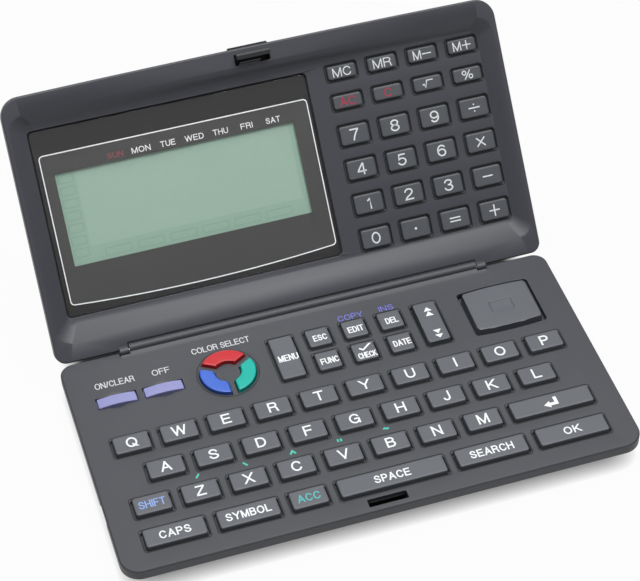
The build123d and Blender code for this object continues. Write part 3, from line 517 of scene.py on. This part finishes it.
# the same painted shade round the lid's keys
shapes = [shadeLineRound(*keyHalves[node], x, y, lidHole) for node in lidRows for x, y in keyPlaces[node][0]]
points, faces = joined(shapes)
addPiece("lid_key_hole_painted_shade_lines", fromLid(points), faces, "paintedGrooveShade", "lid",
         crease=30.0)
print("hole lines made")


# Printed legends

# each letter is its strokes on a field 100 high: a starred corner is rounded to a quarter ellipse between its
# two neighbours
glyphs = {
    "A": "0,0 40,100|40,100 80,0|13,32 67,32", "B": "0,0 0,100|0,54 40,54 *68,54 68,27 *68,0 40,0 0,0|"
    "0,100 38,100 *63,100 63,77 *63,54 38,54", "C": "76,70 *70,100 41,100 *0,100 0,50 *0,0 41,0 *71,0 77,30",
    "D": "0,0 0,100 32,100 *74,100 74,50 *74,0 32,0 0,0", "E": "67,100 0,100 0,0 69,0|0,52 63,52",
    "F": "64,100 0,100 0,0|0,50 57,50", "G": "78,72 *72,100 42,100 *0,100 0,50 *0,0 42,0 *74,0 80,36|"
    "46,48 80,48 80,0", "H": "0,0 0,100|74,0 74,100|0,52 74,52", "I": "0,0 0,100",
    "J": "52,100 52,30 *52,0 26,0 *0,0 0,30", "K": "0,0 0,100|0,36 68,100|24,58 76,0", "L": "0,100 0,0 62,0",
    "M": "0,0 0,100|2,100 44,0|44,0 86,100|88,0 88,100", "N": "0,0 0,100|1,100 73,0|74,0 74,100",
    "O": "43,100 *0,100 0,50 *0,0 43,0 *86,0 86,50 *86,100 43,100",
    "P": "0,0 0,100|0,100 40,100 *66,100 66,73 *66,46 40,46 0,46",
    "Q": "43,100 *0,100 0,50 *0,0 43,0 *86,0 86,50 *86,100 43,100|52,26 84,-3",
    "R": "0,0 0,100|0,100 42,100 *68,100 68,75 *68,50 42,50 0,50|42,50 *66,50 67,26 *67,8 72,0",
    "S": "67,70 *66,100 35,100 *4,100 4,75 *4,57 36,51 *71,45 71,26 *71,0 36,0 *2,0 0,32",
    "T": "0,100 74,100|37,100 37,0", "U": "0,100 0,36 *0,0 37,0 *74,0 74,36 74,100",
    "V": "0,100 40,0|40,0 80,100", "W": "0,100 28,0|28,0 59,100|59,100 90,0|90,0 118,100",
    "X": "0,0 74,100|0,100 74,0", "Y": "0,100 40,44 80,100|40,44 40,0",
    "Z": "4,100 68,100 68,92 0,8 0,0 72,0",
    "0": "31,100 *0,100 0,50 *0,0 31,0 *62,0 62,50 *62,100 31,100", "1": "2,77 *28,80 31,100 31,0",
    "2": "2,70 *2,100 32,100 *62,100 62,73 *62,54 30,34 *4,18 1,0 63,0",
    "3": "3,74 *4,100 31,100 *59,100 59,76 *59,53 30,53|26,53 *63,53 63,27 *63,0 31,0 *2,0 0,28",
    "4": "49,0 49,100 43,100 0,34 0,27 66,27",
    "5": "59,100 14,100 5,50 *14,64 33,64 *63,64 63,33 *63,0 31,0 *4,0 1,26",
    "6": "61,78 *58,100 34,100 *0,100 0,46 *0,0 33,0 *63,0 63,32 *63,63 34,63 *6,63 1,38",
    "7": "0,100 62,100 62,94 *28,54 20,0",
    "8": "31,54 *4,54 4,77 *4,100 31,100 *58,100 58,77 *58,54 31,54 *0,54 0,27 *0,0 31,0 *62,0 62,27 "
    "*62,54 31,54",
    "9": "2,22 *6,0 29,0 *63,0 63,54 *63,100 31,100 *0,100 0,68 *0,37 29,37 *56,37 62,62",
    "+": "0,50 96,50|48,2 48,98", "−": "0,50 104,50", "÷": "0,50 104,50|52,83 52,83.2|52,17 52,17.2",
    "×": "0,12 76,88|0,88 76,12", "=": "0,34 104,34|0,66 104,66", "/": "0,0 34,100",
    "%": "20,100 *0,100 0,76 *0,52 20,52 *40,52 40,76 *40,100 20,100|88,48 *68,48 68,24 *68,0 88,0 *108,0 "
    "108,24 *108,48 88,48|84,100 24,0", "√": "0,40 14,48 30,4 52,90 124,90", "✓": "0,44 24,8 88,92",
    "´": "0,34 26,66", "`": "0,66 26,34", "^": "0,32 24,66 48,32", "¨": "0,42 0,58|34,42 34,58",
    "~": "0,44 *14,72 28,52 *42,30 56,56",
}


# leastSpread limits how far the corner of a sharp turn reaches out; steeper than steep, an end is cut level
pen = {"curvePoints": 8, "leastSpread": 0.45, "steep": 0.5}


def strokePath(marks):
    # a quarter ellipse from start to end round a corner: start + (corner - start) sin t
    # + (end - corner) (1 - cos t); also says which of the two ends are straight
    marks = marks.split()
    places = np.array([[float(part) for part in mark.lstrip("*").split(",")] for mark in marks])
    t = np.linspace(0, math.pi / 2, pen["curvePoints"] + 1)[1:, None]
    rows = [places[:1]]
    for i in range(1, len(marks)):
        if marks[i][0] == "*":
            start, corner, end = places[i - 1:i + 2]
            rows.append(start + (corner - start) * np.sin(t) + (end - corner) * (1 - np.cos(t)))
        elif marks[i - 1][0] != "*":
            rows.append(places[i:i + 1])
    return np.concatenate(rows), (marks[1][0] != "*", marks[-2][0] != "*")


def inkStroke(path, stroke, low, high, level, straight=(True, True)):
    # a flat ribbon along the path: each point moved to both sides along the sum of its two normals, divided
    # by one plus their product; open straight ends reach half a stroke further
    loop = np.allclose(path[0], path[-1])
    side = np.diff(path, axis=0)
    side = side / np.linalg.norm(side, axis=1)[:, None]
    if not loop:
        path = np.concatenate([path[:1] - straight[0] * side[:1] * stroke / 2, path[1:-1],
                               path[-1:] + straight[1] * side[-1:] * stroke / 2])
    normal = np.column_stack([-side[:, 1], side[:, 0]])
    if loop:
        path, before, after = path[:-1], np.roll(normal, 1, 0), normal
    else:
        before, after = np.concatenate([normal[:1], normal]), np.concatenate([normal, normal[-1:]])
    spread = np.maximum(1 + (before * after).sum(1), pen["leastSpread"])[:, None]
    shift = (before + after) / spread * stroke / 2
    edges = np.stack([path - shift, path + shift, path + shift, path - shift], 1)
    for end, run in () if loop else ((0, side[0]), (-1, side[-1])):
        limit = high if path[end, 1] > 0 else low
        if abs(run[1]) > pen["steep"] and abs(path[end, 1] - limit) < stroke:
            edges[end] += run * ((limit - edges[end][:, 1:]) / run[1])
    edges[..., 1] = np.clip(edges[..., 1], low, high)
    rise = np.broadcast_to(np.array([-inkFilm, -inkFilm, level, level])[:, None], edges.shape[:2] + (1,))
    points, faces = stackedRings(np.concatenate([edges, rise], -1), loop)
    if not loop:
        faces += [[3, 2, 1, 0], list(range(len(points) - 4, len(points)))]
    return points, faces


spacing = {"word": 46.0, "stroke": 0.62, "height": 0.05, "overlap": 0.003, "levels": 3}


def lettering(text, height, stroke, width=None, stretch=1.0):
    # a line of text as thin closed films, centred; width, where given, is what its strokes are spread to, and
    # neighbouring strokes lie at different levels, so that crossing ones don't share a face
    scale = (height - stroke) / 100
    gap = (spacing["stroke"] * stroke + spacing["height"] * height) / scale
    paths, start = [], 0.0
    for letter in text:
        if letter == " ":
            start += spacing["word"]
            continue
        strokes = [strokePath(marks) for marks in glyphs[letter].split("|")]
        paths += [(path + [start, 0], straight) for path, straight in strokes]
        start += max(path[:, 0].max() for path, _ in strokes) + gap + stroke / scale
    reach = max(path[:, 0].max() for path, _ in paths)
    share = (width - stroke) / (reach * scale) if width else stretch
    shapes = []
    for i, (path, straight) in enumerate(paths):
        path = (path - [reach / 2, 50]) * [scale * share, scale]
        level = inkFilm + spacing["overlap"] * (i % spacing["levels"])
        shapes.append(inkStroke(path, stroke, -height / 2, height / 2, level, straight))
    return joined(shapes)


def film(outline, level=0.0):
    # a flat printed patch as a thin closed film, its outline anticlockwise
    count = len(outline)
    rings = np.stack([np.column_stack([outline, np.full(count, level + side)])
                      for side in (-inkFilm, inkFilm)])
    points, faces = stackedRings(rings)
    return points, faces + [list(range(count))[::-1], list(range(count, 2 * count))]


def arrowHead(x, y, halfWidth, rise):
    # a triangle with its base at y and its tip at y + rise
    corners = np.array([(x - halfWidth, y), (x + halfWidth, y), (x, y + rise)])
    return corners if rise > 0 else corners[::-1]


def at(shape, x, y, level=0.0):
    # the same shape, moved
    return shape[0] + np.array([x, y, level]), shape[1]


def addPrint(name, shapes, material, body, lid=False):
    # several films as one piece; those of the lid are laid out in its plane
    points, faces = joined(shapes)
    points = fromLid(points) if lid else points
    return addPiece(name, points, faces, material, body, crease=30.0)


letters = {"height": 3.35, "stroke": 0.49, "lift": 0.1, "stretch": 1.03}
for node, text in {"letter_keys_top_row": "QWERTYUIOP", "letter_keys_middle_row": "ASDFGHJKL",
                   "letter_keys_bottom_row": "ZXCVBNM"}.items():
    centres, top = keyPlaces[node]
    shapes = [at(lettering(letter, letters["height"], letters["stroke"], stretch=letters["stretch"]),
                 x, y + letters["lift"], top) for letter, (x, y) in zip(text, centres)]
    addPrint(node + "_legends", shapes, "screenInkWhite", bodyOf(node))

checkMark = {"height": 2.3, "stroke": 0.5, "width": 3.2, "shift": (0.3, 1.2)}
words = {  # text, cap height, width, stroke, shift from the key's middle, ink
    "shift_key": ("SHIFT", 2.5, 7.1, 0.35, (0, 0), "screenInkPaleBlue"),
    "accent_key": ("ACC", 2.5, 6.1, 0.36, (0, 0), "screenInkAqua"),
    "caps_key": ("CAPS", 2.5, 8.3, 0.4, (0, 0), "screenInkWhite"),
    "symbol_key": ("SYMBOL", 2.5, 12.0, 0.4, (0, 0), "screenInkWhite"),
    "space_key": ("SPACE", 2.5, 9.8, 0.4, (0, 0), "screenInkWhite"),
    "search_key": ("SEARCH", 2.5, 12.0, 0.4, (0, 0), "screenInkWhite"),
    "ok_key": ("OK", 2.5, 4.7, 0.4, (0, 0), "screenInkWhite"),
    "menu_key": ("MENU", 2.3, 5.6, 0.34, (0.3, -0.3), "screenInkWhite"),
    "escape_key": ("ESC", 2.2, 3.9, 0.34, (0.3, -0.35), "screenInkWhite"),
    "function_key": ("FUNC", 2.2, 5.1, 0.33, (0.3, -0.3), "screenInkWhite"),
    "edit_key": ("EDIT", 2.2, 4.5, 0.34, (0.2, -0.35), "screenInkWhite"),
    "check_key": ("CHECK", 2.1, 5.2, 0.31, (0.3, -1.55), "screenInkWhite"),
    "delete_key": ("DEL", 2.2, 3.6, 0.34, (0.3, -0.35), "screenInkWhite"),
    "date_key": ("DATE", 2.2, 5.0, 0.34, (0.3, -0.2), "screenInkWhite"),
}
for node, (text, height, width, stroke, shift, ink) in words.items():
    ((x, y),), top = keyPlaces[node]
    shapes = [at(lettering(text, height, stroke, width), x + shift[0], y + shift[1], top)]
    if node == "check_key":
        shapes.append(at(lettering("✓", checkMark["height"], checkMark["stroke"], checkMark["width"]),
                         x + checkMark["shift"][0], y + checkMark["shift"][1], top))
    addPrint(node + "_legend", shapes, ink, bodyOf(node))

enterMark = {"stem": 3.3, "foot": -0.55, "rise": 1.2, "tail": 1.2, "tip": 0.3, "head": (1.5, 1.15),
             "stroke": 0.95, "shift": (-0.4, -0.2), "lift": 0.004}
((x, y),), top = keyPlaces["enter_key"]
x, y = x + enterMark["shift"][0], y + enterMark["shift"][1]
half, foot, (long, wide) = enterMark["stem"] / 2, enterMark["foot"], enterMark["head"]
bend = np.array([(half, enterMark["rise"]), (half, foot), (-half + enterMark["tail"], foot)])
head = np.array([(-half - enterMark["tip"], foot), (-half + long, foot - wide), (-half + long, foot + wide)])
addPrint("enter_key_legend", [
    at(inkStroke(bend, enterMark["stroke"], -np.inf, np.inf, inkFilm), x, y, top),
    at(film(head), x, y, top + enterMark["lift"])], "screenInkWhite", bodyOf("enter_key"))

lidLegends = {
    "memory_keys": ["MC", "MR", "M−", "M+"], "clear_keys": ["AC", "C", "√", "%"],
    "number_keys_789": ["7", "8", "9", "÷"], "number_keys_456": ["4", "5", "6", "×"],
    "number_keys_123": ["1", "2", "3", "−"], "number_keys_0": ["0", "·", "=", "+"],
}
# a sign without a width keeps its natural one
lidWidths = {"MC": 5.3, "MR": 5.3, "M−": 5.3, "M+": 5.3, "AC": 4.7, "C": 2.2, "√": 3.2, "%": 3.2,
             "1": None, "÷": 3.3, "×": 2.6, "−": 3.0, "=": 3.2, "+": 3.1}
lidLetters = {"height": 3.3, "stroke": 0.42, "signStroke": 0.38, "width": 2.6, "smallHeight": 2.55,
              "smallStroke": 0.3, "dotRadius": 0.36, "dotPoints": 72}
for node, texts in lidLegends.items():
    centres, top = keyPlaces[node]
    small = node in ("memory_keys", "clear_keys")
    height = lidLetters["smallHeight" if small else "height"]
    shapes = []
    for text, (x, y) in zip(texts, centres):
        stroke = lidLetters["smallStroke" if small else "signStroke" if text in "÷×−=+" else "stroke"]
        shape = (film(circlePoints(lidLetters["dotPoints"]) * lidLetters["dotRadius"]) if text == "·" else
                 lettering(text, height, stroke, lidWidths.get(text, lidLetters["width"])))
        shapes.append(at(shape, x, y, top))
    if node == "clear_keys":  # the first two are red
        addPrint(node + "_red_legends", shapes[:2], "screenInkCrimson", bodyOf(node), True)
        shapes = shapes[2:]
    addPrint(node + "_legends", shapes, "screenInkWhite", bodyOf(node), True)

faceLabels = {  # text, centre, cap height, width, stroke, ink
    "power_on_label": ("ON/CLEAR", (-57.2, 26.7), 2.15, 10.9, 0.24, "screenInkGrey"),
    "power_off_label": ("OFF", (-44.3, 26.8), 2.1, 4.9, 0.24, "screenInkGrey"),
    "colour_label": ("COLOR SELECT", (-26.3, 30.9), 2.1, 16.4, 0.24, "screenInkGrey"),
    "copy_label": ("COPY", (10.8, 30.05), 2.1, 7.2, 0.25, "screenInkIndigo"),
    "insert_label": ("INS", (21.25, 30.05), 2.0, 4.2, 0.25, "screenInkIndigo"),
}
for name, (text, (x, y), height, width, stroke, ink) in faceLabels.items():
    addPrint(name, [at(lettering(text, height, stroke, width), x, y, faceLevel)], ink, "base")

accents = {"marks": "´`^¨~", "start": -44.5, "pitch": 12.9, "y": -11.6, "height": 3.0, "stroke": 0.5}
addPrint("accent_labels", [
    at(lettering(mark, accents["height"], accents["stroke"]), accents["start"] + i * accents["pitch"],
       accents["y"], faceLevel) for i, mark in enumerate(accents["marks"])], "screenInkTeal", "base")

rockerArrows = {"x": 31.6, "halfWidth": 1.15,
                "marks": [(24.43, 1.5), (22.63, 1.7), (17.13, -1.5), (15.33, -1.4)]}
rockerTop = nodeBox("page_rocker")[1][2]
addPrint("page_rocker_arrows", [
    at(film(arrowHead(rockerArrows["x"], y, rockerArrows["halfWidth"], rise)), 0, 0, rockerTop)
    for y, rise in rockerArrows["marks"]], "screenInkWhite", bodyOf("page_rocker"))
print("legends made")


# Display window

display = {  # outlines are left, right, near and far end and corner radius; levels are in the lid's plane
    "pane": (-64.2, 13.85, 12.15, 63.25, 1.15), "paneTop": -2.95, "paneBottom": -3.68, "paneEdge": 0.08,
    "paneRim": 0.6, "border": (-64.1, 13.75, 12.25, 63.15, 1.05),
    # painted shade: a black band under the pane's edge that stands in for the shadow in the gap round the
    # pane
    "gapShade": (-64.5, 14.15, 11.85, 63.55, 1.25), "gapShadeLift": 0.01, "gapShadeDepth": 0.12,
    "line": (-62.95, 13.2, 14.95, 56.6, 1.2), "lineWidth": 0.28, "sag": 1.45,
    "opening": (-59.6, 8.2, 25.3, 51.05, 0.3), "print": -3.72, "crystal": -4.4,
}


def paneOutline(left, right, low, high, radius, sag=0.0, steps=12):
    # anticlockwise from the right side's lower corner; the near side hangs down by sag (1 - s squared)
    halfX, halfY = (right - left) / 2, (high - low) / 2
    corners = roundedPlate(halfX, halfY, radius).reshape(4, -1, 2)
    s = np.linspace(-1, 1, steps + 2)[1:-1]
    near = np.column_stack([s * (halfX - radius), -halfY - sag * (1 - s ** 2)])
    outline = np.concatenate([corners[0], corners[1], corners[2], near, corners[3]])
    return outline + [(left + right) / 2, (low + high) / 2]


pane = paneOutline(*display["pane"])
points, faces = risingShape(pane, softProfile([
    (0, display["paneBottom"], 0), (0, display["paneTop"], display["paneEdge"]),
    (display["paneRim"], display["paneTop"], 0)]))
glass = addPiece("display_pane", fromLid(points), faces, "clearAcrylic", "lid",
                 ["display_window"])
glass.visible_shadow = False
border = paneOutline(*display["border"])
line = paneOutline(*display["line"], sag=display["sag"])
within = drawnIn(line, display["lineWidth"])
opening = paneOutline(*display["opening"])
level = display["print"]
# painted shade: the black band just outside the border print, for the shadow in the gap round the pane
gapShade = paneOutline(*display["gapShade"])
addPrint("display_gap_painted_shade", [
    filmBetween(gapShade, border, level + display["gapShadeLift"], display["gapShadeDepth"])],
    "screenInkBlack", "lid", True)
for name, outer, inner, ink in (("display_border_print", border, line, "screenInkBlack"),
                                ("display_line_print", line, within, "screenInkWhite"),
                                ("display_inner_print", within, opening, "screenInkUmber")):
    addPrint(name, [filmBetween(outer, inner, level)], ink, "lid", True)

weekdays = {  # middle and width
    "SUN": (-42.25, 4.5), "MON": (-34.95, 5.3), "TUE": (-27.4, 4.2), "WED": (-19.85, 5.3),
    "THU": (-12.4, 4.3), "FRI": (-4.9, 3.4), "SAT": (2.7, 4.1),
}
weekdayPrint = {"height": 1.6, "stroke": 0.22, "y": 52.75, "lift": 0.03}
for name, days, ink in (("weekday_names", list(weekdays)[1:], "screenInkWhite"),
                        ("sunday_name", ["SUN"], "screenInkRose")):
    shapes = [at(lettering(day, weekdayPrint["height"], weekdayPrint["stroke"], weekdays[day][1]),
                 weekdays[day][0], weekdayPrint["y"], level + weekdayPrint["lift"]) for day in days]
    addPrint(name, shapes, ink, "lid", True)


def patch(left, right, low, high):
    # a rectangle's corners, anticlockwise
    return np.array([(left, low), (right, low), (right, high), (left, high)])


low, high = nodeBox("display_glass", True)
crystal = display["crystal"]
points, faces = risingShape(patch(low[0], high[0], low[1], high[1]), [(0, low[2]), (0, crystal)])
addPiece("display_reflector", fromLid(points), faces, "lcdReflector", "lid", ["display_glass"])

# the segments that are switched off still show a little: a column of tabs at the left, a row at the bottom
iconArea = [(-61.5, -54.0, 22.0, 55.0), (-54.0, 10.0, 22.0, 29.8)]
margin = (6.6, 9.4, 22.0, 55.0)
unlitTabs = {  # left end and middle of the first, step in x and y, how many, length, height, corner radius
    "column": (-59.0, 28.5, 0.0, 3.45, 7, 4.3, 2.5, 0.35), "row": (-50.5, 27.3, 9.2, 0.0, 6, 7.6, 2.3, 0.5),
}
unlit = {"line": 0.26, "tabLift": 0.03, "marginLift": 0.02}
addPrint("display_icon_film", [film(patch(*area), crystal) for area in iconArea], "lcdIconFilm", "lid", True)
shapes = []
for x, y, stepX, stepY, count, length, height, corner in unlitTabs.values():
    for i in range(count):
        outer = roundedPlate(length / 2, height / 2, corner) + [x + length / 2 + i * stepX, y + i * stepY]
        shapes.append(filmBetween(outer, drawnIn(outer, unlit["line"]), crystal + unlit["tabLift"]))
addPrint("display_icon_marks", shapes, "lcdIconMark", "lid", True)
addPrint("display_margin_film", [film(patch(*margin), crystal + unlit["marginLift"])], "lcdIconFilm", "lid",
         True)
print("display made")


# Rounded edges

softEdges = {  # node: width of its rounded edges in mm, sharpest turn in degrees that is left alone
    "base_upper_case": (0.12, 40), "base_lower_case": (0.3, 28), "lid_inner_case": (0.12, 40),
    "lid_outer_cover": (0.3, 28), "battery_cover": (0.2, 28), "latch": (0.08, 28), "red_key": (0.26, 28),
    "blue_key": (0.26, 28), "green_key": (0.26, 28), "on_key": (0.2, 28), "off_key": (0.2, 28),
    "page_rocker": (0.3, 28), "cursor_pad": (0.3, 28),
}
for node, (width, turn) in softEdges.items():
    softenedCopy(node, width, turn)
print("edges softened")


# Floor, light and camera

studio = {
    "floorRadius": 3000.0, "floorCorners": 64, "floorColour": "#8c8c8c", "floorRoughness": 0.9,
    "floorShare": 0.965,
    "shadowReach": 5.0, "shadowSamples": 8, "lidShadeX": (0.0, 62.0, 69.0), "lidShadeY": (46.0, 8.0, 18.0),
    "lampHeight": 1150.0, "lampSize": 1000.0, "lampPlace": (120.0, 110.0), "lampRadiance": 3.9,
    "horizon": 0.05, "zenith": 0.9, "fadeFrom": 0.4,
}
camera = {"place": (-117.66, -366.4, 449.4), "aim": (5.76, 41.69, 10.02), "roll": -1.106, "lens": 123.06,
          "nearEnd": 10.0}


def paleFloor():
    # a matt white sweep; the camera sees it close to white, with the soft shadow left in
    # painted shade: near the object and under the lid its white glow is held back, so the floor shows dark
    # there
    material, tree, shader = newMaterial("mattWhiteSweep")
    output = tree.nodes["Material Output"]
    ray = addNode(tree, "ShaderNodeLightPath")
    # painted shade: the glow's share falls with ambient occlusion, so the floor darkens close to the object
    clear = addNode(tree, "ShaderNodeAmbientOcclusion", {"Distance": studio["shadowReach"] * toMetres},
                    samples=studio["shadowSamples"])
    direct = addNode(tree, "ShaderNodeMath", {
        0: ray.outputs["Is Camera Ray"], 1: ray.outputs["Is Glossy Ray"]}, operation="MAXIMUM")
    through = addNode(tree, "ShaderNodeMath", {
        0: direct.outputs[0], 1: ray.outputs["Is Transmission Ray"]}, operation="MAXIMUM")
    # painted shadow: under the lid, behind the hinge, the white glow is held back by one minus a soft box in
    # x and y
    place = addNode(tree, "ShaderNodeSeparateXYZ", {
        0: addNode(tree, "ShaderNodeTexCoord").outputs["Object"]})
    shade = None
    for axis, (middle, flat, end) in (("X", studio["lidShadeX"]), ("Y", studio["lidShadeY"])):
        away = addNode(tree, "ShaderNodeMath", {0: place.outputs[axis], 1: middle * toMetres},
                       operation="SUBTRACT")
        away = addNode(tree, "ShaderNodeMath", {0: away.outputs[0]}, operation="ABSOLUTE")
        part = addNode(tree, "ShaderNodeMapRange", {
            "Value": away.outputs[0], "From Min": flat * toMetres, "From Max": end * toMetres, "To Min": 1.0,
            "To Max": 0.0}, interpolation_type="SMOOTHSTEP")
        shade = part if shade is None else addNode(tree, "ShaderNodeMath", {
            0: shade.outputs[0], 1: part.outputs[0]}, operation="MULTIPLY")
    lit = addNode(tree, "ShaderNodeMath", {0: 1.0, 1: shade.outputs[0]}, operation="SUBTRACT")
    share = addNode(tree, "ShaderNodeMath", {0: clear.outputs["AO"], 1: lit.outputs[0]}, operation="MULTIPLY")
    share = addNode(tree, "ShaderNodeMath", {0: share.outputs[0], 1: studio["floorShare"]},
                    operation="MULTIPLY")
    seen = addNode(tree, "ShaderNodeMath", {0: through.outputs[0], 1: share.outputs[0]}, operation="MULTIPLY")
    shader.inputs["Base Color"].default_value = linear(studio["floorColour"])
    shader.inputs["Roughness"].default_value = studio["floorRoughness"]
    glow = addNode(tree, "ShaderNodeEmission", {"Color": (1.0, 1.0, 1.0, 1.0), "Strength": 1.0})
    mix = addNode(tree, "ShaderNodeMixShader", {
        "Fac": seen.outputs[0], 1: shader.outputs["BSDF"], 2: glow.outputs["Emission"]})
    tree.links.new(mix.outputs["Shader"], output.inputs["Surface"])
    corners = studio["floorCorners"]
    ring = np.column_stack([circlePoints(corners), np.zeros(corners)]) * studio["floorRadius"] * toMetres
    mesh = bpy.data.meshes.new("floor")
    mesh.from_pydata(ring.tolist(), [], [list(range(corners))])
    mesh.materials.append(material)
    floor = linked("floor", mesh)


def studioLight():
    # one large soft lamp overhead, and a dome that is dim at the horizon and white to the camera
    area = bpy.data.lights.new("overheadLamp", "AREA")
    size = studio["lampSize"] * toMetres
    area.shape = "SQUARE"
    area.size = size
    area.energy = studio["lampRadiance"] * math.pi * size * size
    lamp = linked("overheadLamp", area)
    lamp.location = Vector((*studio["lampPlace"], studio["lampHeight"])) * toMetres
    world = bpy.data.worlds.new("studioDome")
    world.use_nodes = True
    tree = world.node_tree
    back = tree.nodes["Background"]
    ray = addNode(tree, "ShaderNodeLightPath")
    place = addNode(tree, "ShaderNodeTexCoord").outputs["Generated"]
    height = addNode(tree, "ShaderNodeSeparateXYZ", {0: place}).outputs["Z"]
    fade = addNode(tree, "ShaderNodeMapRange", {
        "Value": height, "From Min": studio["fadeFrom"], "To Min": studio["horizon"],
        "To Max": studio["zenith"]})
    pick = addNode(tree, "ShaderNodeMix", {
        "Factor": ray.outputs["Is Camera Ray"], "A": fade.outputs["Result"], "B": 1.0})
    tree.links.new(pick.outputs["Result"], back.inputs["Strength"])
    back.inputs["Color"].default_value = (1.0, 1.0, 1.0, 1.0)
    bpy.context.scene.world = world


def photoCamera():
    # it looks from place to aim, rolled about its own line of sight
    data = bpy.data.cameras.new("photoCamera")
    data.lens = camera["lens"]
    data.clip_start = camera["nearEnd"] * toMetres
    eye = linked("photoCamera", data)
    place = Vector(camera["place"]) * toMetres
    look = Vector(camera["aim"]) * toMetres - place
    turn = look.to_track_quat("-Z", "Y") @ Quaternion((0, 0, 1), math.radians(camera["roll"]))
    eye.rotation_mode = "QUATERNION"
    eye.rotation_quaternion = turn
    eye.location = place
    bpy.context.scene.camera = eye


paleFloor()
studioLight()
photoCamera()
bpy.context.scene.view_settings.view_transform = "Standard"
print("stage set")
